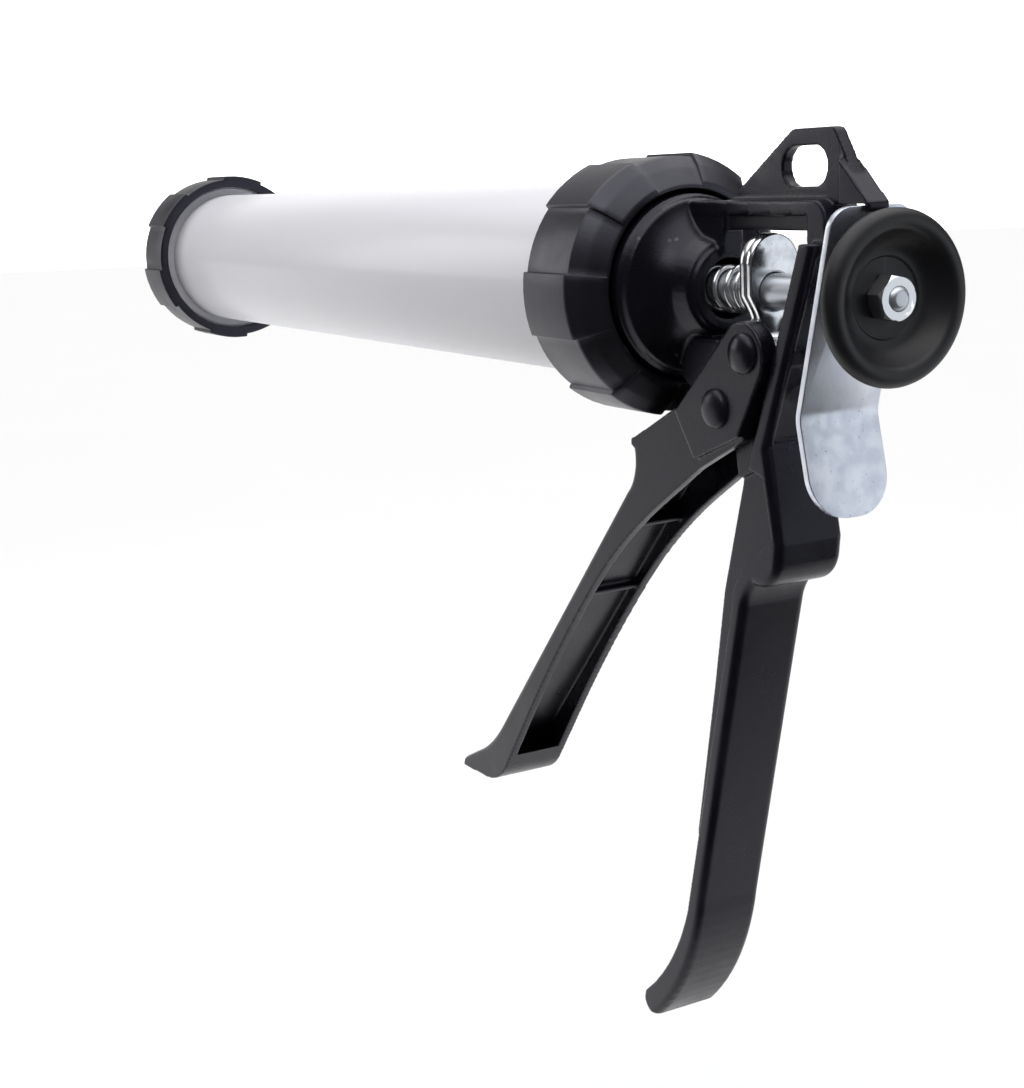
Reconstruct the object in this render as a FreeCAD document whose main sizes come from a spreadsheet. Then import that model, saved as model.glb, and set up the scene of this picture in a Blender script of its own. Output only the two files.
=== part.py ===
"""Skeleton-type caulking gun for 600 ml foil packs, as an assembly of separate pieces.

Millimetres, +Z up.  The rod and the barrel share the X axis, and +X is the way
the sealant leaves.  Pieces are drawn in gun coordinates, with X = 0 at the rear
rim of the rear ring, and every body is then moved so that the model's origin is
the centre of the nozzle's mouth.
"""
import FreeCAD, Part
import math
import os
import Sketcher

DOC = FreeCAD.newDocument("caulking_gun")

# Driving dimensions.  Each row is one cell of the sheet: its alias and its value.
DIMENSIONS = [
    # barrel, collars, rings and nozzle
    ("tube_diameter", 55.0),
    ("tube_wall", 1.5),
    ("tube_length", 370.8),
    ("collar_wall", 3.6),
    ("collar_length", 15.0),
    ("thread_clearance", 0.05),
    ("ring_wall", 3.45),
    ("ring_width", 22.8),
    ("ring_lip", 5.0),
    ("ring_shoulder", 3.4),
    ("ring_nose", 3.6),
    ("shoulder_set_back", 1.35),
    ("pad_height", 1.2),
    ("pad_angle", 29.0),
    ("pad_count", 6.0),
    ("joint_gap", 0.35),
    ("flange_thickness", 4.0),
    ("nozzle_wall", 2.6),
    ("nozzle_neck", 6.5),
    ("nozzle_cone", 44.0),
    ("nozzle_tip_diameter", 12.0),
    ("nozzle_bore_diameter", 7.0),
    ("nozzle_tip_length", 32.0),
    # rod, knob and piston
    ("rod_diameter", 9.0),
    ("rod_clearance", 0.06),
    ("thread_diameter", 6.0),
    ("nut_flats", 10.0),
    ("nut_height", 5.0),
    ("knob_diameter", 41.4),
    ("knob_rim", 5.6),
    ("knob_wall", 2.8),
    ("knob_back", 92.0),
    ("knob_length", 12.0),
    ("knob_hub_length", 6.0),
    ("rod_end_recess", 3.0),
    ("thread_showing", 1.0),
    ("piston_gap", 0.4),
    ("piston_length", 15.0),
    ("piston_plate_diameter", 44.0),
    ("piston_plate_thickness", 2.0),
    ("washer_diameter", 18.0),
    ("washer_thickness", 1.6),
    # frame casting
    ("bell_depth", 8.3),
    ("boss_root_x", 18.2),
    ("boss_back_x", 25.2),
    ("boss_wall", 4.7),
    ("boss_draft", 1.4),
    ("spring_bore_depth", 13.0),
    ("guide_length", 8.0),
    ("bar_height", 22.6),
    ("bar_thickness", 3.4),
    ("bar_web_depth", 4.0),
    ("bar_web_width", 4.6),
    ("bar_front_width", 6.4),
    ("bar_rear_width", 11.0),
    ("window_front_x", 27.5),
    ("window_rear_x", 64.0),
    ("post_thickness", 7.2),
    ("fin_thickness", 3.2),
    ("fin_height", 39.5),
    ("hang_slot_length", 17.3),
    ("hang_slot_height", 9.7),
    ("web_width", 15.0),
    ("shell_width", 21.0),
    ("shell_round", 2.2),
    ("panel_depth", 1.2),
    ("grip_length", 92.5),
    ("grip_lean", 0.246),
    ("grip_shell", 4.8),
    ("grip_core_width", 11.0),
    ("grip_depth", 13.6),
    # trigger and its pins
    ("pivot_x", 35.9),
    ("pivot_drop", 29.3),
    ("pin_diameter", 6.0),
    ("pin_clearance", 0.05),
    ("head_diameter", 10.4),
    ("head_height", 2.6),
    ("drive_drop", 14.4),
    ("roller_diameter", 6.6),
    ("ear_gap", 0.5),
    ("ear_thickness", 5.0),
    ("ear_radius", 8.8),
    ("trigger_width", 21.6),
    ("trigger_wall", 2.8),
    ("trigger_skin", 3.0),
    ("nose_clearance", 5.9),
    # drive plates and springs
    ("plate_width", 15.2),
    ("plate_thickness", 2.5),
    ("plate_height", 14.5),
    ("plate_front_x", 39.4),
    ("tongue_width", 11.0),
    ("tongue_drop", 16.6),
    ("spring_wire", 1.4),
    ("spring_turns", 7.0),
    ("spring_clearance", 0.4),
    ("spring_bore_room", 1.7),
    # release lever
    ("lever_thickness", 2.0),
    ("lever_width", 24.0),
    ("lever_back", 75.0),
    ("lever_bend_drop", 29.0),
    ("lever_drop", 53.4),
    ("lever_top", 21.2),
    ("lever_lean", 0.262),
    ("lever_kick", 0.235),
    ("release_wire", 1.0),
    ("release_turns", 2.5),
    ("release_radius", 3.4),
    ("release_drop", 27.0),
]


class Size:
    """A number together with the sheet formula that works it out."""

    def __init__(self, value, formula):
        self.value = value
        self.formula = formula

    def __add__(self, other):
        return Size(self.value + value_of(other), f"({self.formula} + {formula_of(other)})")

    def __sub__(self, other):
        return Size(self.value - value_of(other), f"({self.formula} - {formula_of(other)})")

    def __mul__(self, other):
        return Size(self.value * value_of(other), f"({self.formula} * {formula_of(other)})")

    def __truediv__(self, other):
        return Size(self.value / value_of(other), f"({self.formula} / {formula_of(other)})")

    def __radd__(self, other):
        return self + other

    def __rmul__(self, other):
        return self * other

    def __rsub__(self, other):
        return Size(value_of(other) - self.value, f"({formula_of(other)} - {self.formula})")

    def __neg__(self):
        return Size(-self.value, f"(0 - {self.formula})")


def value_of(number):
    return number.value if isinstance(number, Size) else float(number)


def formula_of(number):
    return number.formula if isinstance(number, Size) else f"({number})"


def fill_sheet():
    """Write the dimensions into the sheet and return them by name."""
    sheet = DOC.addObject("Spreadsheet::Sheet", "Dims")
    sizes = {}
    for row, (alias, value) in enumerate(DIMENSIONS, start=1):
        sheet.set(f"A{row}", alias.replace("_", " "))
        sheet.set(f"B{row}", str(value))
        sheet.setAlias(f"B{row}", alias)
        sizes[alias] = Size(value, f"Dims.{alias}")
    DOC.recompute()
    return sizes


D = fill_sheet()

# ---------------------------------------------------------------- worked-out sizes
TUBE_R = D["tube_diameter"] / 2
TUBE_IN_R = TUBE_R - D["tube_wall"]
COLLAR_R = TUBE_R + D["collar_wall"]
RING_BORE_R = COLLAR_R + D["thread_clearance"]
RING_R = RING_BORE_R + D["ring_wall"]
PAD_R = RING_R + D["pad_height"]
FLANGE_R = RING_BORE_R - D["joint_gap"]
LIP_R = FLANGE_R - D["ring_lip"]
BELL_R = LIP_R - 2 * D["joint_gap"]
SHOULDER_X = D["joint_gap"] - D["shoulder_set_back"]
TUBE_BACK_X = SHOULDER_X + D["flange_thickness"] + D["joint_gap"]
TUBE_FRONT_X = TUBE_BACK_X + D["tube_length"]
RING_MIRROR_X = TUBE_BACK_X + TUBE_FRONT_X
TIP_X = TUBE_FRONT_X + D["flange_thickness"] + D["nozzle_neck"] + D["nozzle_cone"] + D["nozzle_tip_length"]

ROD_R = D["rod_diameter"] / 2
THREAD_R = D["thread_diameter"] / 2
GUIDE_R = ROD_R + D["rod_clearance"]
SPRING_IN_R = ROD_R + D["spring_clearance"]
SPRING_MEAN_R = SPRING_IN_R + D["spring_wire"] / 2
SPRING_OUT_R = SPRING_IN_R + D["spring_wire"]
SPRING_BORE_R = SPRING_OUT_R + D["spring_bore_room"]
BOSS_R = SPRING_BORE_R + D["boss_wall"]
BOSS_ROOT_R = BOSS_R + D["boss_draft"]
SPRING_SEAT_X = -D["boss_back_x"] + D["spring_bore_depth"]

KNOB_R = D["knob_diameter"] / 2
KNOB_FRONT_X = -D["knob_back"] + D["knob_length"]
NUT_SEAT_X = KNOB_FRONT_X - D["knob_hub_length"]
ROD_FRONT_X = TUBE_FRONT_X - D["rod_end_recess"]
PISTON_FRONT_X = ROD_FRONT_X - D["nut_height"] - D["washer_thickness"] - D["thread_showing"]
PISTON_BACK_X = PISTON_FRONT_X - D["piston_length"]
ROD_SHOULDER_X = PISTON_BACK_X - D["piston_plate_thickness"]

WEB_HALF = D["web_width"] / 2
SHELL_HALF = D["shell_width"] / 2
EAR_IN = WEB_HALF + D["ear_gap"]
EAR_OUT = EAR_IN + D["ear_thickness"]
PIN_R = D["pin_diameter"] / 2
PLATE_BACK_X = -D["plate_front_x"] - 2 * D["plate_thickness"]
ROLLER_R = D["roller_diameter"] / 2
DRIVE_X = PLATE_BACK_X - D["joint_gap"] - ROLLER_R
PIVOT_X = -D["pivot_x"]
PIVOT_Z = -D["pivot_drop"]
DRIVE_Z = -D["drive_drop"]


# ---------------------------------------------------------------- drawing helpers
def new_body(name, turned=0.0, reversed_way=False, shift=0.0):
    """A body labelled with its node name, moved so the nozzle's mouth is the origin."""
    body = DOC.addObject("PartDesign::Body", name)
    body.Label = name
    about_x = FreeCAD.Rotation(FreeCAD.Vector(1, 0, 0), turned)
    half_turn = FreeCAD.Rotation(FreeCAD.Vector(0, 0, 1), 180.0 if reversed_way else 0.0)
    body.Placement = FreeCAD.Placement(FreeCAD.Vector(0, 0, 0), about_x * half_turn)
    body.setExpression("Placement.Base.x", formula_of(shift - TIP_X))
    return body


def origin_feature(body, role):
    return next(item for item in body.Origin.OriginFeatures if item.Role == role)


def new_sketch(body, name, plane, height=0.0):
    """An empty sketch on one of the body's own origin planes, raised by height."""
    sketch = body.newObject("Sketcher::SketchObject", name)
    sketch.AttachmentSupport = [(origin_feature(body, plane), "")]
    sketch.MapMode = "FlatFace"
    if isinstance(height, Size) or height:
        sketch.setExpression("AttachmentOffset.Base.z", formula_of(height))
    return sketch


def place_point(sketch, shape_index, point_index, place):
    """Hold one point of the sketch at a pair of sizes measured from the origin."""
    for kind, axis, number in (("DistanceX", -2, place[0]), ("DistanceY", -1, place[1])):
        if not isinstance(number, Size) and number == 0:
            sketch.addConstraint(Sketcher.Constraint("PointOnObject", shape_index, point_index, axis))
            continue
        rule = Sketcher.Constraint(kind, -1, 1, shape_index, point_index, value_of(number))
        index = sketch.addConstraint(rule)
        sketch.setExpression(f"Constraints[{index}]", formula_of(number))


def flat(place):
    return FreeCAD.Vector(value_of(place[0]), value_of(place[1]), 0)


def arc_between(start, end, radius):
    """The short arc from start to end; a positive radius turns left, a negative one right."""
    chord = end - start
    half = chord.Length / 2
    across = FreeCAD.Vector(-chord.y, chord.x, 0).normalize()
    rise = math.sqrt(max(radius * radius - half * half, 0.0))
    centre = (start + end) / 2 + across * math.copysign(rise, radius)
    circle = Part.Circle(centre, FreeCAD.Vector(0, 0, 1), abs(radius))
    first, last = (start, end) if radius > 0 else (end, start)
    return Part.ArcOfCircle(circle, circle.parameter(first), circle.parameter(last))


def outline(body, name, plane, corners, height=0.0):
    """A closed outline.  A corner's third value is the radius of the arc that leaves it."""
    sketch = new_sketch(body, name, plane, height)
    ends = []
    for index, corner in enumerate(corners):
        start = flat(corner)
        end = flat(corners[(index + 1) % len(corners)])
        if len(corner) == 3:
            radius = value_of(corner[2])
            sketch.addGeometry(arc_between(start, end, radius))
            ends.append((1, 2) if radius > 0 else (2, 1))
        else:
            sketch.addGeometry(Part.LineSegment(start, end))
            ends.append((1, 2))
    for index, corner in enumerate(corners):
        following = (index + 1) % len(corners)
        joined = Sketcher.Constraint("Coincident", index, ends[index][1], following, ends[following][0])
        sketch.addConstraint(joined)
        place_point(sketch, index, ends[index][0], corner)
        if len(corner) == 3:
            size = corner[2] if value_of(corner[2]) > 0 else -1 * corner[2]
            rule = sketch.addConstraint(Sketcher.Constraint("Radius", index, value_of(size)))
            sketch.setExpression(f"Constraints[{rule}]", formula_of(size))
    return sketch


def circles(body, name, plane, rounds, height=0.0):
    """Circles given as (first, second, radius) on an origin plane."""
    sketch = new_sketch(body, name, plane, height)
    for index, (first, second, radius) in enumerate(rounds):
        sketch.addGeometry(Part.Circle(flat((first, second)), FreeCAD.Vector(0, 0, 1), value_of(radius)))
        place_point(sketch, index, 3, (first, second))
        rule = sketch.addConstraint(Sketcher.Constraint("Radius", index, value_of(radius)))
        sketch.setExpression(f"Constraints[{rule}]", formula_of(radius))
    return sketch


def checked(feature, grows):
    """Recompute, and make sure that the feature added or removed material as it should."""
    DOC.recompute()
    base = feature.BaseFeature
    before = base.Shape.Volume if base else 0.0
    change = feature.Shape.Volume - before
    if (change > 0) != grows:
        raise RuntimeError(f"{feature.Name} has changed the volume by {change:.3f}")
    return feature


def extruded(body, kind, name, sketch, length, both_ways=True, backwards=False):
    feature = body.newObject(f"PartDesign::{kind}", name)
    feature.Profile = sketch
    feature.SideType = "Symmetric" if both_ways else "One side"
    feature.Reversed = backwards
    feature.setExpression("Length", formula_of(length))
    return checked(feature, kind == "Pad")


def turned(body, kind, name, sketch, angle=360.0):
    """A Revolution or Groove about the X axis, centred on the sketch's plane."""
    feature = body.newObject(f"PartDesign::{kind}", name)
    feature.Profile = sketch
    feature.ReferenceAxis = (origin_feature(body, "X_Axis"), [""])
    if isinstance(angle, Size):
        feature.Midplane = True
        feature.setExpression("Angle", formula_of(angle))
    else:
        feature.Angle = angle
    return checked(feature, kind == "Revolution")


def through_edges(feature, spots, axis="y"):
    """Names of the straight edges along an axis that stand at the given spots."""
    names = []
    for number, edge in enumerate(feature.Shape.Edges, start=1):
        if len(edge.Vertexes) != 2:
            continue
        first, last = (vertex.Point for vertex in edge.Vertexes)
        across = [side for side in "xyz" if side != axis]
        if any(abs(getattr(first, side) - getattr(last, side)) > 1e-4 for side in across):
            continue
        for spot in spots:
            if all(abs(getattr(first, side) - value_of(at)) < 0.02 for side, at in zip(across, spot)):
                names.append(f"Edge{number}")
    return names


def rounded(body, name, base, edges, radius, kind="Fillet"):
    feature = body.newObject(f"PartDesign::{kind}", name)
    feature.Base = (base, edges)
    feature.setExpression("Radius" if kind == "Fillet" else "Size", formula_of(radius))
    DOC.recompute()
    return feature


def box_outline(low, high):
    return [(low[0], low[1]), (high[0], low[1]), (high[0], high[1]), (low[0], high[1])]


def bore_along_x(body, name, start, end, radius):
    sketch = outline(body, f"{name}_profile", "XZ_Plane", box_outline((start, 0), (end, radius)))
    return turned(body, "Groove", name, sketch)


def make_turned(name, profile, **placing):
    """A body that is one profile turned about the X axis."""
    body = new_body(name, **placing)
    sketch = outline(body, f"{name}_profile", "XZ_Plane", profile)
    turned(body, "Revolution", f"{name}_turned", sketch)
    return body


def make_sleeve(name, start, end, inner, outer, **placing):
    return make_turned(name, box_outline((start, inner), (end, outer)), **placing)


# ---------------------------------------------------------------- barrel group
def make_ring(name, turned_by, reversed_way=False, shift=0.0):
    """A screw ring: a cylinder with a coned rear face and raised finger pads."""
    body = new_body(name, turned_by, reversed_way, shift)
    cone_x = -D["ring_shoulder"]
    nose_x = cone_x - D["ring_nose"]
    slope = 0.92 * D["ring_shoulder"]
    profile = [
        (SHOULDER_X - D["joint_gap"], RING_BORE_R),
        (D["ring_width"], RING_BORE_R),
        (D["ring_width"], RING_R),
        (0, RING_R),
        (cone_x, RING_R - slope),
        (nose_x, LIP_R + 1.0),
        (nose_x, LIP_R),
        (SHOULDER_X - D["joint_gap"], LIP_R),
    ]
    sketch = outline(body, f"{name}_profile", "XZ_Plane", profile)
    turned(body, "Revolution", f"{name}_turned", sketch)
    sink = 0.5
    pad_profile = [
        (D["ring_width"], RING_R - sink),
        (D["ring_width"], PAD_R),
        (0, PAD_R),
        (cone_x, PAD_R - slope),
        (nose_x, LIP_R + 2.0),
        (nose_x + sink, LIP_R + 1.2),
        (cone_x, RING_R - slope - sink),
        (0, RING_R - sink),
    ]
    pad_sketch = outline(body, f"{name}_pad_profile", "XZ_Plane", pad_profile)
    pad = turned(body, "Revolution", f"{name}_pad", pad_sketch, D["pad_angle"])
    pattern = body.newObject("PartDesign::PolarPattern", f"{name}_pads")
    pattern.Originals = [pad]
    pattern.Axis = (origin_feature(body, "X_Axis"), [""])
    pattern.Angle = 360
    pattern.setExpression("Occurrences", formula_of(D["pad_count"]))
    body.Tip = pattern
    return body


def make_nozzle():
    """Cone nozzle with a flange that the front ring traps against the tube."""
    seat = TUBE_FRONT_X + D["joint_gap"]
    flange_x = seat + D["flange_thickness"] - 2 * D["joint_gap"]
    neck_x = flange_x + D["nozzle_neck"]
    cone_x = TIP_X - D["nozzle_tip_length"]
    tip_r = D["nozzle_tip_diameter"] / 2
    bore_r = D["nozzle_bore_diameter"] / 2
    wall = D["nozzle_wall"]
    profile = [
        (seat, FLANGE_R),
        (flange_x, FLANGE_R),
        (flange_x, BELL_R),
        (neck_x, BELL_R - 0.4),
        (cone_x, tip_r + 1.6),
        (cone_x + 2.0, tip_r),
        (TIP_X, tip_r),
        (TIP_X, bore_r),
        (cone_x, bore_r),
        (neck_x - wall, BELL_R - wall - 0.4),
        (seat, BELL_R - wall),
    ]
    return make_turned("nozzle", profile)


def make_barrel_group():
    make_sleeve("barrel_tube", TUBE_BACK_X, TUBE_FRONT_X, TUBE_IN_R, TUBE_R)
    rear_end = TUBE_BACK_X + 1.0
    front_end = TUBE_FRONT_X - 1.0
    make_sleeve("rear_collar", rear_end, rear_end + D["collar_length"], TUBE_R, COLLAR_R)
    make_sleeve("front_collar", front_end - D["collar_length"], front_end, TUBE_R, COLLAR_R)
    make_ring("rear_ring", -6.0)
    make_ring("front_ring", -20.0, reversed_way=True, shift=RING_MIRROR_X)
    make_nozzle()


# ---------------------------------------------------------------- rod group
def make_rod():
    """Round rod, turned down to a thread at each end."""
    dome = 1.0
    back_x = -D["knob_back"]
    profile = [
        (back_x, 0),
        (ROD_FRONT_X, 0),
        (ROD_FRONT_X, THREAD_R),
        (ROD_SHOULDER_X, THREAD_R),
        (ROD_SHOULDER_X, ROD_R),
        (KNOB_FRONT_X, ROD_R),
        (KNOB_FRONT_X, THREAD_R),
        (back_x + dome, THREAD_R),
        (back_x, THREAD_R - dome),
    ]
    return make_turned("rod", profile)


def make_knob():
    """Dished pull knob with a thick rolled rim and a hub that sits on the rod's shoulder."""
    back_x = -D["knob_back"]
    half_rim = D["knob_rim"] / 2
    rim_x = back_x + half_rim
    wall = D["knob_wall"]
    profile = [
        (KNOB_FRONT_X, THREAD_R),
        (KNOB_FRONT_X, 7.5),
        (KNOB_FRONT_X - 1.4, 10.4),
        (rim_x + half_rim, KNOB_R - half_rim, half_rim),
        (rim_x, KNOB_R, half_rim),
        (back_x, KNOB_R - half_rim, half_rim),
        (back_x + 0.8, KNOB_R - half_rim - 2.2),
        (NUT_SEAT_X - 1.0 + wall - 2.2, 11.0),
        (NUT_SEAT_X, 10.2),
        (NUT_SEAT_X, THREAD_R),
    ]
    return make_turned("knob", profile)


def make_nut(name, start, spin=0.0):
    """Hexagon nut on the X axis with turned corners."""
    body = new_body(name, turned=spin)
    across = D["nut_flats"] / (2 * math.cos(math.radians(30)))
    corners = []
    for index in range(6):
        angle = math.radians(60 * index)
        corners.append((across * math.cos(angle), across * math.sin(angle)))
    hexagon = outline(body, f"{name}_hexagon", "YZ_Plane", corners, height=start)
    extruded(body, "Pad", f"{name}_block", hexagon, D["nut_height"], both_ways=False)
    end = start + D["nut_height"]
    bevel = 0.6
    flats_r = D["nut_flats"] / 2
    for side, face, inward in (("back", start, bevel), ("front", end, -bevel)):
        profile = [(face, flats_r), (face, across + 1.0), (face + inward, across + 1.0), (face + inward, across)]
        sketch = outline(body, f"{name}_{side}_bevel", "XZ_Plane", profile)
        turned(body, "Groove", f"{name}_{side}_corners", sketch)
    bore_along_x(body, f"{name}_bore", start - 1.0, end + 1.0, THREAD_R)
    return body


def make_piston_group():
    """Plastic cup, steel backing plate and washer, held on the rod by a nut."""
    outer = TUBE_IN_R - D["piston_gap"]
    lip = 3.0
    web = 5.0
    profile = [
        (PISTON_BACK_X, THREAD_R),
        (PISTON_BACK_X, outer),
        (PISTON_BACK_X + lip, outer),
        (PISTON_BACK_X + lip + 1.2, outer - 1.2),
        (PISTON_FRONT_X - lip - 1.2, outer - 1.2),
        (PISTON_FRONT_X - lip, outer),
        (PISTON_FRONT_X, outer),
        (PISTON_FRONT_X, outer - 2.4),
        (PISTON_BACK_X + web, outer - 5.0),
        (PISTON_BACK_X + web, 12.0),
        (PISTON_FRONT_X, 11.0),
        (PISTON_FRONT_X, THREAD_R),
    ]
    make_turned("piston_cup", profile)
    plate_r = D["piston_plate_diameter"] / 2
    make_sleeve("piston_plate", ROD_SHOULDER_X, PISTON_BACK_X, THREAD_R, plate_r)
    washer_x = PISTON_FRONT_X + D["washer_thickness"]
    make_sleeve("piston_washer", PISTON_FRONT_X, washer_x, THREAD_R, D["washer_diameter"] / 2)
    make_nut("piston_nut", washer_x)


def make_rod_group():
    make_rod()
    make_knob()
    make_nut("knob_nut", NUT_SEAT_X - D["nut_height"], spin=12.0)
    make_piston_group()


# ---------------------------------------------------------------- frame casting
POST_SLOPE = 0.39
POST_FRONT_X = -62.9
SHELL_TOP_Z = 12.6
WAIST_Z = -44.0
HEEL_Z = -61.5
SADDLE_Z = -80.0


def post_front(height):
    """X of the front edge of the rear post at a height; the post leans back as it rises."""
    return POST_FRONT_X - POST_SLOPE * height


def post_back(height):
    return post_front(height) - D["post_thickness"] / 1.4


def grip_back(drop):
    """X of the grip's rear face at a drop below the saddle."""
    return -42.4 + D["grip_lean"] * drop


def make_frame():
    """One die casting: bell, boss, window with its bar and post, fin, hub and grip."""
    body = new_body("frame")
    bell = outline(body, "bell_profile", "XZ_Plane", bell_profile())
    turned(body, "Revolution", "bell", bell)
    add_top_bar(body)
    add_fin(body)
    add_post_and_web(body)
    add_grip(body)
    bore_along_x(body, "rod_hole", -D["knob_back"], -D["window_rear_x"] + 8.0, ROD_R + 1.0)
    pivot = circles(body, "pivot_round", "XZ_Plane", [(PIVOT_X, PIVOT_Z, PIN_R + D["pin_clearance"])])
    extruded(body, "Pocket", "pivot_bore", pivot, D["web_width"] + 2.0)
    cut_panels(body)
    return body


def bell_profile():
    """Flange inside the ring, domed bell, and the boss with its guide and spring bore."""
    flange_front = SHOULDER_X + D["flange_thickness"]
    rim_x = -D["bell_depth"]
    step_x = rim_x - 3.0
    guide_front = SPRING_SEAT_X + D["guide_length"]
    skin = 3.2
    return [
        (flange_front, FLANGE_R),
        (SHOULDER_X, FLANGE_R),
        (SHOULDER_X, BELL_R),
        (rim_x, BELL_R - 0.5),
        (rim_x - 0.6, BELL_R - 1.2),
        (step_x, BELL_R - 1.9),
        (step_x - 0.4, BELL_R - 3.2, -14.0),
        (-D["boss_root_x"], BOSS_ROOT_R),
        (-D["boss_back_x"] + 1.4, BOSS_R, -1.4),
        (-D["boss_back_x"], BOSS_R - 1.4),
        (-D["boss_back_x"], SPRING_BORE_R),
        (SPRING_SEAT_X, SPRING_BORE_R),
        (SPRING_SEAT_X, GUIDE_R),
        (guide_front, GUIDE_R),
        (guide_front, GUIDE_R + 3.6),
        (-D["boss_root_x"] + 2 * skin, BOSS_ROOT_R - skin),
        (step_x + skin, BELL_R - skin - 1.6),
        (flange_front, BELL_R - skin - 0.4),
    ]


def add_top_bar(body):
    """Bar over the window, wider at the rear, and the block that joins it to the bell."""
    front_x = -11.5
    block_x = -D["window_front_x"]
    rear_x = -D["window_rear_x"] - 1.0
    front_half = D["bar_front_width"] / 2
    rear_half = D["bar_rear_width"] / 2
    top_z = D["bar_height"]
    plan = [(front_x, -front_half), (front_x, front_half), (rear_x, rear_half), (rear_x, -rear_half)]
    bar = outline(body, "bar_plan", "XY_Plane", plan, height=top_z - D["bar_thickness"])
    extruded(body, "Pad", "top_bar", bar, D["bar_thickness"], both_ways=False)
    web_z = top_z - D["bar_thickness"] - D["bar_web_depth"]
    web_side = [(block_x + 1.0, web_z), (block_x + 1.0, top_z - 1.0), (rear_x, top_z - 1.0), (rear_x, web_z)]
    web = outline(body, "bar_web_side", "XZ_Plane", web_side)
    extruded(body, "Pad", "bar_web", web, D["bar_web_width"])
    side = [(front_x, BOSS_R - 4.0), (block_x + 1.2, BOSS_R - 4.0), (block_x, top_z), (front_x, top_z)]
    block = outline(body, "block_side", "XZ_Plane", side)
    extruded(body, "Pad", "bar_block", block, D["bar_front_width"])


def add_fin(body):
    """Thin fin over the bar with the hanging slot, and a gusset that caps the lever."""
    top_z = D["fin_height"]
    root_z = D["bar_height"] - 1.0
    rear_foot_x = -81.4
    rear_top_x = -70.0
    front_foot_x = -25.8
    rise = D["fin_height"] - root_z
    side = [
        (front_foot_x, root_z),
        (rear_foot_x, root_z),
        (rear_top_x, top_z),
        (front_foot_x - 1.57 * rise, top_z),
    ]
    fin = outline(body, "fin_side", "XZ_Plane", side)
    pad = extruded(body, "Pad", "fin", fin, D["fin_thickness"])
    corners = through_edges(pad, [side[2], side[3]])
    rounded(body, "fin_corners", pad, corners, D["fin_thickness"] / 1.4)
    slot_z = (root_z + top_z) / 2
    slot_x = -58.6
    end_r = D["hang_slot_height"] / 2
    reach = D["hang_slot_length"] / 2 - end_r
    slot = [
        (slot_x - reach, slot_z - end_r),
        (slot_x + reach, slot_z - end_r, end_r),
        (slot_x + reach, slot_z + end_r),
        (slot_x - reach, slot_z + end_r, end_r),
    ]
    cut = outline(body, "hang_slot_outline", "XZ_Plane", slot)
    extruded(body, "Pocket", "hang_slot", cut, D["fin_thickness"] + 2.0)
    lip_x = lever_x(D["lever_top"]) - D["lever_thickness"] - D["joint_gap"]
    lip_wall = 1.2
    gusset = [
        (-73.0, root_z),
        (lip_x, root_z),
        (lip_x, root_z - 2.0),
        (lip_x - lip_wall, root_z - 2.0),
        (lip_x - lip_wall, root_z + 0.2),
        (rear_foot_x + 8.4, root_z + 10.6),
    ]
    side_plate = outline(body, "gusset_side", "XZ_Plane", gusset)
    extruded(body, "Pad", "fin_gusset", side_plate, 2 * D["fin_thickness"])


def add_post_and_web(body):
    """Rear post, the web under the window, and the round hub of the trigger pivot."""
    top_z = D["bar_height"]
    window_x = -D["window_rear_x"]
    back_x = window_x - D["post_thickness"]
    corner_r = D["bar_thickness"] + 1.2
    post_top = [
        (window_x, top_z),
        (back_x + corner_r, top_z, corner_r),
        (back_x, top_z - corner_r),
        (back_x, SHELL_TOP_Z + 3.0),
        (post_back(SHELL_TOP_Z), SHELL_TOP_Z - 2.0),
        (post_back(-20.0), -20.0),
        (post_front(-20.0), -20.0),
        (post_front(SHELL_TOP_Z - 4.0), SHELL_TOP_Z - 4.0),
        (window_x, SHELL_TOP_Z),
    ]
    upper = outline(body, "post_side", "XZ_Plane", post_top)
    extruded(body, "Pad", "post", upper, D["bar_rear_width"])
    floor_z = DRIVE_Z - ROLLER_R - 2.6
    block_x = -D["window_front_x"] - 1.8
    web = [
        (-12.5, -BOSS_R),
        (block_x, -BOSS_R),
        (block_x, floor_z),
        (post_front(floor_z) - 1.5, floor_z),
        (post_front(WAIST_Z) - 1.5, WAIST_Z),
        (PIVOT_X - 1.5, WAIST_Z - 4.0),
        (PIVOT_X + 1.0, PIVOT_Z - 4.0),
        (-21.0, PIVOT_Z + 1.0),
        (-12.5, -BELL_R + 1.6),
    ]
    lower = outline(body, "web_side", "XZ_Plane", web)
    extruded(body, "Pad", "web", lower, D["web_width"])
    hub = circles(body, "hub_round", "XZ_Plane", [(PIVOT_X, PIVOT_Z, PIN_R + 7.0)])
    extruded(body, "Pad", "pivot_hub", hub, D["web_width"])


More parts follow.
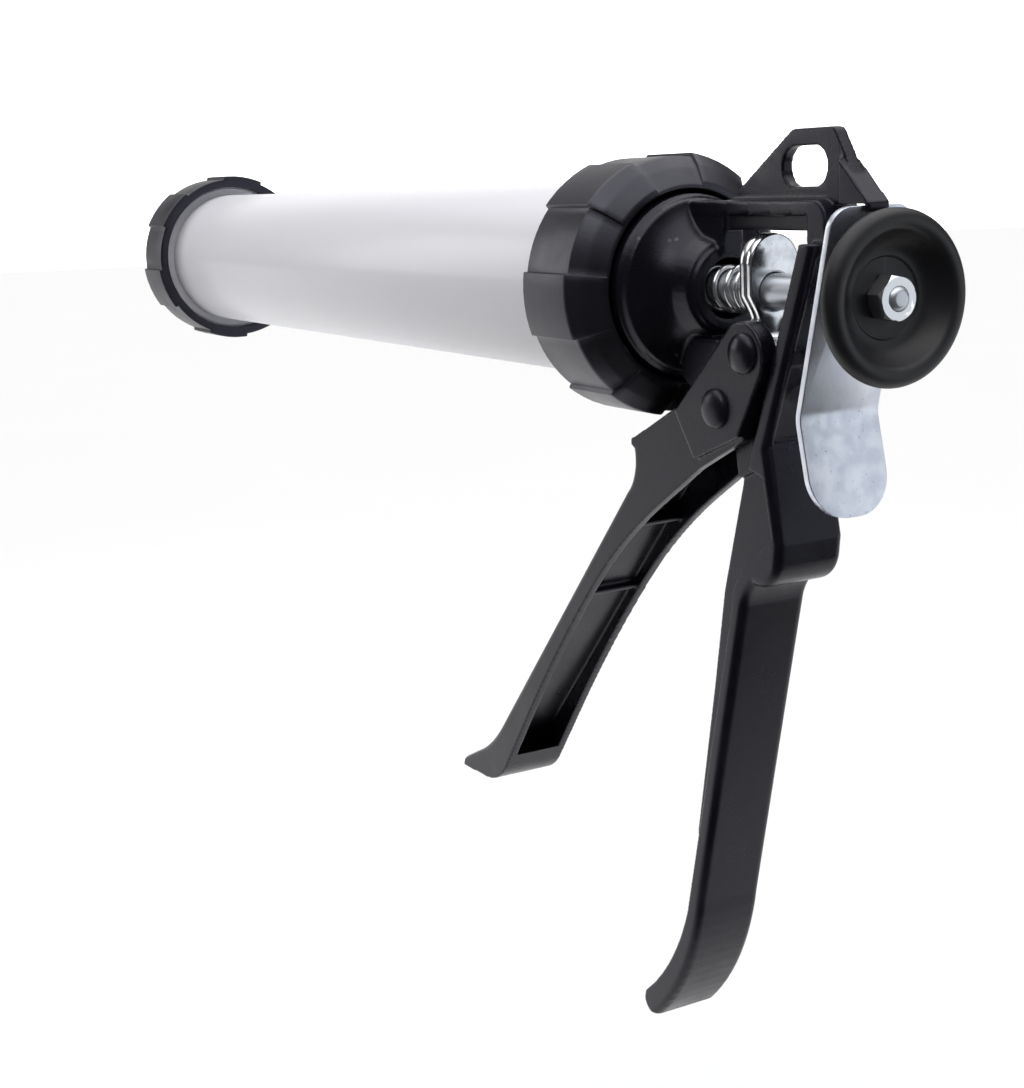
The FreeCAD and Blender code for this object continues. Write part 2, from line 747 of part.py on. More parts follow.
def shell_sides():
    """Rear and front edge points of the wide rear shell, from the post down to the toe."""
    grip_top = SADDLE_Z
    grip_end = SADDLE_Z - D["grip_length"]
    thick = D["grip_shell"]
    rear = [
        (post_back(SHELL_TOP_Z), SHELL_TOP_Z),
        (post_back(WAIST_Z + 6.0), WAIST_Z + 6.0),
        (-58.2, HEEL_Z - 0.5),
        (-57.6, HEEL_Z - 5.0, 9.0),
        (-47.0, SADDLE_Z + 5.6, -14.0),
        (grip_back(0.0), grip_top - 1.0),
        (grip_back(D["grip_length"]), grip_end, 80.0),
        (grip_back(D["grip_length"]) + 23.6, grip_end - 43.4, 4.6),
    ]
    front = [
        (grip_back(D["grip_length"]) + 30.6, grip_end - 40.8),
        (grip_back(D["grip_length"]) + 30.0, grip_end - 38.0, -77.0),
        (grip_back(D["grip_length"]) + thick + 1.6, grip_end - 4.0),
        (grip_back(0.0) + thick, grip_top - 2.0, 16.0),
        (-47.4 + thick, SADDLE_Z + 9.4),
        (-55.2, HEEL_Z + 1.0),
        (post_front(WAIST_Z) - 6.0, WAIST_Z - 1.6),
        (post_front(WAIST_Z), WAIST_Z),
        (post_front(SHELL_TOP_Z - 1.0), SHELL_TOP_Z),
    ]
    return rear, front


def add_grip(body):
    """Wide rear shell that the palm rests on, and the narrow core in front of it."""
    rear, front = shell_sides()
    shell = outline(body, "shell_side", "XZ_Plane", rear + front)
    pad = extruded(body, "Pad", "shell", shell, D["shell_width"])
    rounded(body, "shell_edges", pad, side_edges(pad, rear, D["shell_width"] / 2), D["shell_round"])
    grip_end = SADDLE_Z - D["grip_length"]
    depth = D["grip_depth"]
    core = [
        (post_front(WAIST_Z) - 2.0, WAIST_Z + 6.0),
        (-56.0, HEEL_Z),
        (-46.0, SADDLE_Z + 6.0),
        (grip_back(0.0) + 1.0, SADDLE_Z),
        (grip_back(D["grip_length"]) + 1.0, grip_end),
        (grip_back(D["grip_length"]) + D["grip_shell"], grip_end - 4.0),
        (grip_back(D["grip_length"] - 19.0) + 12.2, grip_end + 19.0),
        (grip_back(28.0) + depth, SADDLE_Z - 28.0),
        (grip_back(0.0) + depth + 1.4, SADDLE_Z),
        (-36.6, WAIST_Z - 6.0),
        (-38.0, WAIST_Z),
    ]
    middle = outline(body, "core_side", "XZ_Plane", core)
    extruded(body, "Pad", "grip_core", middle, D["grip_core_width"])


def cut_panels(body):
    """Two shallow panels cast into the rear face of the post, either side of a rib."""
    depth = D["panel_depth"]
    for name, high, low in (("upper_panel", SHELL_TOP_Z - 3.0, -13.0), ("lower_panel", -17.0, -37.0)):
        side = [
            (post_back(high) - 2.0, high),
            (post_back(low) - 2.0, low),
            (post_back(low) + depth, low),
            (post_back(high) + depth, high),
        ]
        sketch = outline(body, f"{name}_side", "XZ_Plane", side)
        extruded(body, "Pocket", name, sketch, D["shell_width"] - 5.0)


# ---------------------------------------------------------------- trigger group
def trigger_front():
    """Front edge of the trigger from the ear round the nose to the tip."""
    nose_z = -PAD_R - D["nose_clearance"]
    return [
        (DRIVE_X + 5.6, DRIVE_Z + 6.7),
        (-15.6, PIVOT_Z - 1.2),
        (7.4, nose_z, -1.4),
        (8.6, nose_z - 2.4, 13.0),
        (12.6, PIVOT_Z - 28.5),
        (97.0, PIVOT_Z - 121.0, 62.0),
        (112.5, PIVOT_Z - 133.2),
        (124.4, PIVOT_Z - 139.0, -4.0),
        (126.2, PIVOT_Z - 143.0),
    ]


def trigger_back():
    """Rear edge of the trigger from the tip up to the ear."""
    return [
        (109.0, PIVOT_Z - 142.4, -19.4),
        (94.2, PIVOT_Z - 134.6),
        (80.5, PIVOT_Z - 116.6, 640.0),
        (35.0, PIVOT_Z - 62.5, 200.0),
        (-6.0, PIVOT_Z - 29.0),
        (-24.0, PIVOT_Z - 17.6),
        (-44.4, PIVOT_Z - 7.6),
        (DRIVE_X - 6.5, DRIVE_Z - 5.3),
    ]


def make_trigger():
    """U-shaped trigger: two ears that straddle the hub, and a hollow grip below them."""
    body = new_body("trigger")
    side = trigger_front() + trigger_back()
    whole = outline(body, "trigger_side", "XZ_Plane", side)
    grip = extruded(body, "Pad", "trigger_block", whole, D["trigger_width"])
    names = side_edges(grip, trigger_front()[3:8], D["trigger_width"] / 2)
    rounded(body, "trigger_edges", grip, names, D["trigger_skin"] - 1.0)
    hollow = outline(body, "channel_side", "XZ_Plane", channel_outline())
    inside = D["trigger_width"] - 2 * D["trigger_wall"]
    extruded(body, "Pocket", "channel", hollow, inside)
    ear = [
        (DRIVE_X + 5.6, DRIVE_Z + 6.7, D["ear_radius"]),
        (DRIVE_X - 6.5, DRIVE_Z - 5.3),
        (-45.0, PIVOT_Z - 6.4),
        (-25.0, PIVOT_Z - 14.4),
        (-16.6, PIVOT_Z - 2.6),
    ]
    outer = outline(body, "ear_side", "XZ_Plane", ear)
    extruded(body, "Pad", "ears", outer, 2 * EAR_OUT)
    gap = [
        (-60.0, PIVOT_Z + 26.0),
        (-60.0, PIVOT_Z - 16.0),
        (-26.4, PIVOT_Z - 22.0),
        (-15.4, PIVOT_Z - 12.6),
        (-12.0, PIVOT_Z + 4.0),
        (-30.0, PIVOT_Z + 26.0),
    ]
    slot = outline(body, "ear_gap_side", "XZ_Plane", gap)
    extruded(body, "Pocket", "ear_gap", slot, 2 * EAR_IN)
    holes = circles(body, "pin_rounds", "XZ_Plane", [(PIVOT_X, PIVOT_Z, PIN_R), (DRIVE_X, DRIVE_Z, PIN_R - 1.0)])
    extruded(body, "Pocket", "pin_holes", holes, 2 * EAR_OUT + 2.0)
    add_trigger_ribs(body)
    return body


def side_edges(feature, corners, half_width):
    """The edges on both side faces of an extrusion that run between the given corners."""
    names = []
    front = [flat(place) for place in corners]
    for number, edge in enumerate(feature.Shape.Edges, start=1):
        if len(edge.Vertexes) != 2:
            continue
        first, last = (vertex.Point for vertex in edge.Vertexes)
        on_side = abs(abs(first.y) - value_of(half_width)) < 1e-4 and abs(first.y - last.y) < 1e-4
        ends = [FreeCAD.Vector(point.x, point.z, 0) for point in (first, last)]
        on_front = all(any((end - spot).Length < 0.02 for spot in front) for end in ends)
        if on_side and on_front:
            names.append(f"Edge{number}")
    return names


def channel_outline():
    """The hollow of the grip: its front side follows the skin, its rear side is open."""
    skin = D["trigger_skin"]
    drop = 0.67 * skin
    side = 0.74 * skin
    return [
        (-16.0, PIVOT_Z - 9.0),
        (1.6, PIVOT_Z - 16.0),
        (4.6, PIVOT_Z - 24.0),
        (12.6 - side, PIVOT_Z - 28.5 - drop),
        (97.0 - side, PIVOT_Z - 121.0 - drop, 65.0),
        (104.0, PIVOT_Z - 131.6),
        (104.0, PIVOT_Z - 138.4),
        (86.0, PIVOT_Z - 126.6),
        (20.0, PIVOT_Z - 80.0),
        (-40.0, PIVOT_Z - 26.0),
    ]


def add_trigger_ribs(body):
    """Cross ribs inside the hollow grip."""
    inside = D["trigger_width"] - 2 * D["trigger_wall"] + 1.0
    for name, low, high in (("upper_rib", 12.0, 38.6), ("middle_rib", 37.6, 63.6)):
        side = [
            (low, PIVOT_Z - high),
            (low + 3.0, PIVOT_Z - high + 2.8),
            (low + 4.1, PIVOT_Z - high + 1.6),
            (low + 1.1, PIVOT_Z - high - 1.2),
        ]
        sketch = outline(body, f"{name}_side", "XZ_Plane", side)
        extruded(body, "Pad", name, sketch, inside)


def make_pin(name, at_x, at_z, radius, head_radius):
    """Rivet across the ears with a domed head at each end."""
    body = new_body(name)
    shank = circles(body, f"{name}_round", "XZ_Plane", [(at_x, at_z, radius)])
    extruded(body, "Pad", f"{name}_shank", shank, 2 * EAR_OUT)
    height = D["head_height"]
    for side, direction in (("left", -1), ("right", 1)):
        plane = direction * EAR_OUT
        head = circles(body, f"{name}_{side}_round", "XZ_Plane", [(at_x, at_z, head_radius)], height=plane)
        pad = extruded(body, "Pad", f"{name}_{side}_head", head, height, False, direction < 0)
        rim = [edge for edge in outer_rims(pad, EAR_OUT + height, direction)]
        rounded(body, f"{name}_{side}_dome", pad, rim, height - 0.05)
    return body


def outer_rims(feature, distance, direction):
    """The circular edge at a distance along Y; direction 1 is towards -Y."""
    for number, edge in enumerate(feature.Shape.Edges, start=1):
        centre = edge.BoundBox.Center
        if edge.BoundBox.YLength < 1e-4 and abs(centre.y + direction * value_of(distance)) < 1e-3:
            yield f"Edge{number}"


def make_roller():
    body = new_body("drive_roller")
    bore_r = PIN_R - 1.0 + D["pin_clearance"]
    rounds = [(DRIVE_X, DRIVE_Z, ROLLER_R), (DRIVE_X, DRIVE_Z, bore_r)]
    sketch = circles(body, "roller_rounds", "XZ_Plane", rounds)
    extruded(body, "Pad", "roller", sketch, 2 * EAR_IN - 2 * D["joint_gap"])
    return body


def make_trigger_group():
    make_trigger()
    make_pin("pivot_pin", PIVOT_X, PIVOT_Z, PIN_R, D["head_diameter"] / 2)
    make_pin("drive_pin", DRIVE_X, DRIVE_Z, PIN_R - 1.0, D["head_diameter"] / 2)
    make_roller()


# ---------------------------------------------------------------- drive plates and springs
def make_drive_plate(name, back_x):
    """Hardened gripping plate: round top, hole for the rod, and a tongue below."""
    body = new_body(name)
    half = D["plate_width"] / 2
    tongue = D["tongue_width"] / 2
    neck = tongue - 1.0
    face = [
        (-half, -1.0),
        (-half + 2.2, -4.6),
        (-neck, -6.6),
        (-tongue, -9.6),
        (-tongue, -D["tongue_drop"]),
        (tongue, -D["tongue_drop"]),
        (tongue, -9.6),
        (neck, -6.6),
        (half - 2.2, -4.6),
        (half, -1.0),
        (half, D["plate_height"] - half, half),
        (0, D["plate_height"], half),
        (-half, D["plate_height"] - half),
    ]
    sketch = outline(body, f"{name}_face", "YZ_Plane", face, height=back_x)
    extruded(body, "Pad", f"{name}_blank", sketch, D["plate_thickness"], both_ways=False)
    bore_along_x(body, f"{name}_hole", back_x - 1.0, back_x + D["plate_thickness"] + 1.0, ROD_R + 0.3)
    return body


def coil(mean_radius, span, turns, wire_radius):
    """A spring wire swept along a helix that rises along Z, as one solid."""
    helix = Part.makeHelix(span / turns, span, mean_radius)
    centre = FreeCAD.Vector(mean_radius, 0, 0)
    section = Part.Wire(Part.makeCircle(wire_radius, centre, FreeCAD.Vector(0, 1, 0)))
    return Part.Wire(helix.Edges).makePipeShell([section], True, True)


def make_spring(name, radius, start, end, turns, wire, drop=0.0):
    """A spring feature set from the sheet's values, then placed like every other piece."""
    feature = DOC.addObject("Part::Feature", name)
    feature.Label = name
    wire_r = value_of(wire) / 2
    room = wire_r + 0.05
    span = value_of(end) - value_of(start) - 2 * room
    feature.Shape = coil(value_of(radius), span, value_of(turns), wire_r)
    begin = FreeCAD.Vector(value_of(start) + room - value_of(TIP_X), 0, -value_of(drop))
    feature.Placement = FreeCAD.Placement(begin, FreeCAD.Rotation(FreeCAD.Vector(0, 1, 0), 90))
    return feature


def lever_x(height):
    """X of the lever's front face at a height above its bend."""
    return -D["lever_back"] - D["lever_lean"] * height


def make_lever():
    """Bent release lever: hooked under the fin, with a hole for the rod and a thumb tab."""
    body = new_body("release_lever")
    thick = D["lever_thickness"]
    bend_z = -D["lever_bend_drop"]
    bend_x = lever_x(bend_z)
    low_z = -D["lever_drop"]
    low_x = bend_x - D["lever_kick"] * (D["lever_drop"] - D["lever_bend_drop"])
    reach = 2.0
    bend_r = 8.0
    above = bend_z + reach
    below = bend_z - reach
    above_x = lever_x(above)
    below_x = bend_x - D["lever_kick"] * reach
    side = [
        (lever_x(D["lever_top"]), D["lever_top"]),
        (lever_x(D["lever_top"]) - thick, D["lever_top"]),
        (above_x - thick, above, -bend_r),
        (below_x - thick, below),
        (low_x - thick, low_z),
        (low_x, low_z),
        (below_x, below, bend_r),
        (above_x, above),
    ]
    sketch = outline(body, "lever_side", "XZ_Plane", side)
    extruded(body, "Pad", "lever_plate", sketch, D["lever_width"])
    half = D["lever_width"] / 2
    for across in (-1, 1):
        round_plate_corner(body, across, half, -1, low_z, half - 1.6)
        round_plate_corner(body, across, half, 1, D["lever_top"], thick * 2.6)
    bore_along_x(body, "lever_hole", lever_x(0.0) - 8.0, lever_x(0.0) + 6.0, ROD_R + 1.1)
    return body


def round_plate_corner(body, across, half_width, up, height, radius):
    """Cut one corner of the lever's plan to a radius; across and up are -1 or 1."""
    side = across * half_width
    end = across * (half_width - radius)
    corner = [
        (side, height - up * radius, across * up * radius),
        (end, height),
        (end, height + up * 1.0),
        (side + across * 1.0, height + up * 1.0),
        (side + across * 1.0, height - up * radius),
    ]
    name = f"{'top' if up > 0 else 'low'}_{'left' if across > 0 else 'right'}"
    sketch = outline(body, f"{name}_round", "YZ_Plane", corner)
    extruded(body, "Pocket", f"{name}_corner", sketch, 2.5 * D["knob_back"])


def make_plates_and_springs():
    thick = D["plate_thickness"]
    make_drive_plate("drive_plate_rear", PLATE_BACK_X)
    make_drive_plate("drive_plate_front", PLATE_BACK_X + thick)
    plate_face = -D["plate_front_x"]
    coils = D["spring_turns"]
    make_spring("return_spring", SPRING_MEAN_R, plate_face, SPRING_SEAT_X, coils, D["spring_wire"])
    drop = D["release_drop"]
    wire = D["release_wire"]
    upper_edge = drop - D["release_radius"] - wire / 2
    start = lever_x(-D["lever_bend_drop"]) + D["joint_gap"]
    end = post_back(-upper_edge) - D["joint_gap"]
    make_spring("release_spring", D["release_radius"], start, end, D["release_turns"], wire, drop)
    make_lever()


# ---------------------------------------------------------------- build, check and write
def sub_parts():
    return [item for item in DOC.Objects if item.TypeId in ("PartDesign::Body", "Part::Feature")]


def check_document():
    for item in DOC.Objects:
        if "Invalid" in item.State or "Error" in item.State:
            raise RuntimeError(f"{item.Name} failed: {item.State}")
    for item in sub_parts():
        shape = item.Shape
        if shape.isNull() or not shape.isValid() or not shape.Solids:
            raise RuntimeError(f"{item.Label} has no valid solid")


def main():
    make_barrel_group()
    make_rod_group()
    make_frame()
    make_trigger_group()
    make_plates_and_springs()
    DOC.recompute()
    check_document()
    os.makedirs("parts", exist_ok=True)
    for item in sub_parts():
        item.Shape.exportStep(f"parts/{item.Label}.step")
        print(f"{item.Label}: {len(item.Shape.Solids)} solid, {item.Shape.Volume:.0f} mm3")


main()
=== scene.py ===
"""Looks of a caulking gun for foil packs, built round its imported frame.

Every piece is in metres in the frame's own axes: +X forward along the barrel,
+Y to the gun's left and +Z up.
"""
from __future__ import annotations

import logging
import math
from dataclasses import dataclass
from enum import Enum
from typing import Optional, Sequence, Union

import bmesh
import bpy
from mathutils import Matrix, Vector


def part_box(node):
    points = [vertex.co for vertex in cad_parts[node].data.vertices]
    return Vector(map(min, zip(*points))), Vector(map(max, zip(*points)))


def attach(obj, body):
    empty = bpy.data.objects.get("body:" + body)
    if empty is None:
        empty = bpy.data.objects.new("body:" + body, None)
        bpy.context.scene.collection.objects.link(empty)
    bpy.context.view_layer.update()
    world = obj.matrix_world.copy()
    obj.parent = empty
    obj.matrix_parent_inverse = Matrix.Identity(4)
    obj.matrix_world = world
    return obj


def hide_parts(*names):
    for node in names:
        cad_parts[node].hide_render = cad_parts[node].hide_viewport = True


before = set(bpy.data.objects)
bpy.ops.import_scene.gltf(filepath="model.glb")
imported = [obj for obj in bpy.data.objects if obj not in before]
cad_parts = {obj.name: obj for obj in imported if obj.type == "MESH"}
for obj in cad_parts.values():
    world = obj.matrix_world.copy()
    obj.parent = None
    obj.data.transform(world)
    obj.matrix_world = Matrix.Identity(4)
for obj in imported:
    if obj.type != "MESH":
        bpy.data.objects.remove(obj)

LOG = logging.getLogger("caulking_gun")
MM = 0.001
TURN = 2 * math.pi
WELD = 2e-6
FLAT = math.radians(0.5)
MOST_OF_SIDE = 0.45
SMOOTHING = 0.5
SAME_POINT = 1e-7
NO_LENGTH = 1e-8

Colour = tuple[float, float, float]
Profile = list[tuple[float, float]]
Pairs = tuple[tuple[float, float], ...]


# ------------------------------------------------------------------ node trees
class Wire:
    """A node's output socket that takes part in Python arithmetic."""

    def __init__(self, bench: Bench, socket: bpy.types.NodeSocket) -> None:
        """Keep the bench that adds nodes and the socket that this wire starts from."""
        self.bench = bench
        self.socket = socket

    def _math(self, operation: str, first: Number, second: Number = 0.0) -> Wire:
        """Add one Math node and return its result."""
        inputs = {0: first, 1: second}
        return self.bench.wire("ShaderNodeMath", {"operation": operation}, inputs)

    def __add__(self, other: Number) -> Wire:
        """Sum of two values."""
        return self._math("ADD", self, other)

    def __sub__(self, other: Number) -> Wire:
        """Difference of two values."""
        return self._math("SUBTRACT", self, other)

    def __mul__(self, other: Number) -> Wire:
        """Product of two values."""
        return self._math("MULTIPLY", self, other)

    def __truediv__(self, other: Number) -> Wire:
        """Quotient of two values."""
        return self._math("DIVIDE", self, other)

    def __rsub__(self, other: Number) -> Wire:
        """A plain number less this value."""
        return self._math("SUBTRACT", other, self)

    __radd__ = __add__
    __rmul__ = __mul__

    def sine(self) -> Wire:
        """Sine of this value in radians."""
        return self._math("SINE", self)

    def cosine(self) -> Wire:
        """Cosine of this value in radians."""
        return self._math("COSINE", self)


Number = Union[Wire, float]
Value = Union[Wire, float, int, bool, Sequence[float], bpy.types.ID]


class Bench:
    """A node tree under construction."""

    def __init__(self, tree: bpy.types.NodeTree) -> None:
        """Work on the given tree."""
        self.tree = tree

    def node(
        self,
        kind: str,
        settings: Optional[dict[str, object]] = None,
        inputs: Optional[dict[Union[str, int], Value]] = None,
    ) -> bpy.types.Node:
        """Add a node.

        Args:
            kind: The node's type name.
            settings: Its own settings, set before its sockets.
            inputs: Values or wires by socket name or number.

        Returns:
            The new node.
        """
        made = self.tree.nodes.new(kind)
        for name, setting in (settings or {}).items():
            setattr(made, name, setting)
        for key, value in (inputs or {}).items():
            self.feed(made.inputs[key], value)
        return made

    def feed(self, socket: bpy.types.NodeSocket, value: Value) -> None:
        """Link a wire to a socket, or set the socket's own value.

        Args:
            socket: The input socket.
            value: A wire or a plain value.
        """
        if isinstance(value, Wire):
            self.tree.links.new(value.socket, socket)
        else:
            socket.default_value = value

    def wire(
        self,
        kind: str,
        settings: Optional[dict[str, object]] = None,
        inputs: Optional[dict[Union[str, int], Value]] = None,
        output: Union[str, int] = 0,
    ) -> Wire:
        """Add a node and return one of its outputs as a wire."""
        return Wire(self, self.node(kind, settings, inputs).outputs[output])

    def vector(self, x: Number, y: Number, z: Number) -> Wire:
        """A vector from three values."""
        return self.wire("ShaderNodeCombineXYZ", inputs={0: x, 1: y, 2: z})


class ShaderBench(Bench):
    """A material's node tree, with the patterns that the gun's finishes share."""

    EDGE_RANGE = (0.52, 0.60)

    def __init__(self, material: bpy.types.Material) -> None:
        """Start an empty tree that ends in a Principled shader.

        Args:
            material: The material that gets the tree.
        """
        material.use_nodes = True
        super().__init__(material.node_tree)
        self.tree.nodes.clear()
        self.shader = self.node("ShaderNodeBsdfPrincipled")
        self.node("ShaderNodeOutputMaterial", inputs={0: Wire(self, self.shader.outputs[0])})
        self.place = self.wire("ShaderNodeTexCoord", output="Object")

    def noise(
        self, scale: float, detail: float = 2.0, stretch: Sequence[float] = (1, 1, 1)
    ) -> Wire:
        """Smooth noise from 0 to 1.

        Args:
            scale: Cells per metre.
            detail: Octaves of finer noise.
            stretch: Scale along each axis, for streaks.

        Returns:
            The noise value.
        """
        place = self.place
        if tuple(stretch) != (1, 1, 1):
            place = self.wire("ShaderNodeMapping", inputs={"Vector": place, "Scale": stretch})
        inputs = {"Vector": place, "Scale": scale, "Detail": detail}
        return self.wire("ShaderNodeTexNoise", inputs=inputs)

    def ramp(self, value: Wire, low: float, high: float) -> Wire:
        """Value mapped smoothly to 0 at low and 1 at high."""
        settings = {"interpolation_type": "SMOOTHSTEP"}
        return self.wire("ShaderNodeMapRange", settings, {"Value": value, 1: low, 2: high})

    def mix(
        self, factor: Number, first: Union[Wire, Colour], second: Union[Wire, Colour]
    ) -> Wire:
        """Blend of two colours."""
        inputs = {0: factor, 6: opaque(first), 7: opaque(second)}
        return self.wire("ShaderNodeMix", {"data_type": "RGBA"}, inputs, output=2)

    def edges(self) -> Wire:
        """One along convex edges, and zero on flats and in hollows."""
        sharpness = self.wire("ShaderNodeNewGeometry", output="Pointiness")
        return self.ramp(sharpness, *self.EDGE_RANGE)

    def relief(self, height: Wire, depth: float, strength: float) -> None:
        """Feed a height to the shader's normal.

        Args:
            height: The height, from 0 to 1.
            depth: Metres that a height of 1 stands for.
            strength: How much of the relief shows.
        """
        inputs = {"Height": height, "Distance": depth, "Strength": strength}
        self.set("Normal", self.wire("ShaderNodeBump", inputs=inputs))

    def set(self, name: str, value: Value) -> None:
        """Feed one of the Principled shader's sockets."""
        self.feed(self.shader.inputs[name], value)


def opaque(colour: Union[Wire, Colour]) -> Union[Wire, Sequence[float]]:
    """A colour with full opacity, or the wire as it is."""
    return colour if isinstance(colour, Wire) else (*colour, 1.0)


# ------------------------------------------------------------------ finishes
@dataclass(frozen=True)
class Finish:
    """A surface finish, made once and shared by every piece that has it."""

    name: str
    slot: str

    def material(self) -> bpy.types.Material:
        """Find the finish's material, or build it the first time it is asked for.

        Returns:
            The material.
        """
        known = bpy.data.materials.get(self.name)
        if known:
            return known
        made = bpy.data.materials.new(self.name)
        self.dress(ShaderBench(made))
        return made

    def dress(self, bench: ShaderBench) -> None:
        """Build the finish's nodes."""
        raise NotImplementedError


@dataclass(frozen=True)
class PaintedCasting(Finish):
    """Black stove enamel on a die casting: satin, with faint cloudiness and lighter edges, partly
    scuffed paint and partly a painted edge highlight.
    """

    colour: Colour = (0.0048, 0.0045, 0.0075)
    cloud: Colour = (0.0095, 0.0090, 0.0145)
    # Colour of the convex edges: bare metal through worn paint, and also a painted edge highlight.
    bare_and_highlight_colour: Colour = (0.17, 0.17, 0.20)
    roughness: float = 0.28
    gloss: float = 0.30
    tint: Colour = (0.84, 0.84, 1.0)
    clouds_per_metre: float = 55.0
    patches_per_metre: float = 210.0
    streaks_per_metre: float = 260.0
    ripples_per_metre: float = 90.0
    grain_per_metre: float = 1500.0
    relief_depth: float = 0.12 * MM
    wear_highlight_strength: float = 0.5
    least_wear_highlight: float = 0.4
    coat: float = 0.05
    coat_roughness: float = 0.16

    def dress(self, bench: ShaderBench) -> None:
        """Cloudy black with edges lightened partly by wear and partly as a painted highlight, fine
        orange peel and a thin clear coat.

        Args:
            bench: The material's node tree.
        """
        clouds = bench.ramp(bench.noise(self.clouds_per_metre, 4.0), 0.35, 0.70)
        patches = bench.ramp(bench.noise(self.patches_per_metre, 3.0), 0.42, 0.62)
        # Convex edges turn towards the light grey edge colour: partly worn paint, partly a painted
        # edge highlight.
        edge_wear_and_highlight = bench.edges() * (patches * 0.6 + self.least_wear_highlight) * self.wear_highlight_strength
        body = bench.mix(clouds * 0.7, self.colour, self.cloud)
        bench.set("Base Color", bench.mix(edge_wear_and_highlight, body, self.bare_and_highlight_colour))
        streaks = bench.noise(self.streaks_per_metre, 3.0, (1.0, 1.0, 0.15))
        bench.set("Roughness", clouds * 0.10 + streaks * 0.08 + (self.roughness - 0.06))
        ripples = bench.noise(self.ripples_per_metre, 2.0)
        peel = bench.noise(self.grain_per_metre, 2.0) * 0.6 + ripples * 0.8
        bench.relief(peel, self.relief_depth, 0.35)
        bench.set("Specular IOR Level", self.gloss)
        bench.set("Specular Tint", opaque(self.tint))
        bench.set("Coat Weight", self.coat)
        bench.set("Coat Roughness", self.coat_roughness)


@dataclass(frozen=True)
class BarrelCoat(Finish):
    """Pale satin coat on a drawn tube, with drawing lines too faint to count."""

    colour: Colour = (0.80, 0.80, 0.84)
    shade: Colour = (0.70, 0.70, 0.76)
    roughness: float = 0.30
    streaks_per_metre: float = 160.0
    streak_stretch: tuple[float, float, float] = (0.03, 1.0, 1.0)
    clouds_per_metre: float = 14.0
    grain_per_metre: float = 700.0
    relief_depth: float = 0.05 * MM
    coat: float = 0.25
    coat_roughness: float = 0.18

    def dress(self, bench: ShaderBench) -> None:
        """Nearly even colour, long faint streaks along the tube and a soft coat.

        Args:
            bench: The material's node tree.
        """
        streaks = bench.noise(self.streaks_per_metre, 3.0, self.streak_stretch)
        clouds = bench.noise(self.clouds_per_metre, 3.0)
        shading = clouds * 0.35 + streaks * 0.15
        bench.set("Base Color", bench.mix(shading, self.colour, self.shade))
        bench.set("Roughness", streaks * 0.08 + clouds * 0.05 + self.roughness)
        grain = bench.noise(self.grain_per_metre, 2.0)
        bench.relief(streaks + grain * 0.5, self.relief_depth, 0.3)
        bench.set("Coat Weight", self.coat)
        bench.set("Coat Roughness", self.coat_roughness)


@dataclass(frozen=True)
class PlatedSteel(Finish):
    """Zinc plate on sheet steel: bluish, mottled and lightly specked."""

    light: Colour = (0.78, 0.80, 0.86)
    dark: Colour = (0.68, 0.71, 0.80)
    speck: Colour = (0.22, 0.23, 0.27)
    roughness: float = 0.34
    mottle_per_metre: float = 230.0
    grain_per_metre: float = 1100.0
    specks_per_metre: float = 1300.0
    specks: float = 0.55
    relief_depth: float = 0.06 * MM

    def dress(self, bench: ShaderBench) -> None:
        """Mottled metal whose gloss changes with the mottling, with small dark specks.

        Args:
            bench: The material's node tree.
        """
        mottle = bench.ramp(bench.noise(self.mottle_per_metre, 5.0), 0.32, 0.68)
        fine = bench.noise(self.grain_per_metre, 3.0)
        dots = bench.ramp(bench.noise(self.specks_per_metre, 2.0), 0.67, 0.76) * self.specks
        plate = bench.mix(mottle, self.dark, self.light)
        bench.set("Base Color", bench.mix(dots, plate, self.speck))
        bench.set("Metallic", 1.0)
        bench.set("Roughness", mottle * -0.08 + fine * 0.10 + dots * 0.2 + self.roughness)
        bench.relief(fine * 0.5 + mottle * 0.4, self.relief_depth, 0.3)


@dataclass(frozen=True)
class BrightSteel(Finish):
    """Turned, ground or drawn steel with fine marks across its length."""

    colour: Colour = (0.78, 0.79, 0.81)
    shade: Colour = (0.55, 0.57, 0.61)
    roughness: float = 0.17
    stretch: tuple[float, float, float] = (1.0, 0.2, 0.2)
    marks_per_metre: float = 1800.0
    clouds_per_metre: float = 130.0
    relief_depth: float = 0.04 * MM

    def dress(self, bench: ShaderBench) -> None:
        """Bright metal with fine tool marks and a few duller clouds.

        Args:
            bench: The material's node tree.
        """
        marks = bench.noise(self.marks_per_metre, 3.0, self.stretch)
        clouds = bench.ramp(bench.noise(self.clouds_per_metre, 3.0), 0.35, 0.7)
        dulling = clouds * 0.5 + marks * 0.2
        bench.set("Base Color", bench.mix(dulling, self.colour, self.shade))
        bench.set("Metallic", 1.0)
        bench.set("Roughness", marks * 0.12 + clouds * 0.07 + self.roughness)
        bench.relief(marks, self.relief_depth, 0.3)


@dataclass(frozen=True)
class MouldedPlastic(Finish):
    """Moulded plastic with a fine spark-eroded grain."""

    colour: Colour = (0.006, 0.006, 0.009)
    rubbed: Colour = (0.014, 0.014, 0.019)
    roughness: float = 0.42
    grain_per_metre: float = 1900.0
    clouds_per_metre: float = 70.0
    relief_depth: float = 0.08 * MM

    def dress(self, bench: ShaderBench) -> None:
        """Even colour, slightly polished by hand on its edges, with a fine grain.

        Args:
            bench: The material's node tree.
        """
        grain = bench.noise(self.grain_per_metre, 2.0)
        clouds = bench.ramp(bench.noise(self.clouds_per_metre, 3.0), 0.35, 0.70)
        polished = bench.edges() * 0.6
        handled = clouds * 0.6 + polished * 0.4
        bench.set("Base Color", bench.mix(handled, self.colour, self.rubbed))
        bench.set("Roughness", clouds * 0.08 - polished * 0.10 + grain * 0.06 + self.roughness)
        bench.relief(grain, self.relief_depth, 0.3)


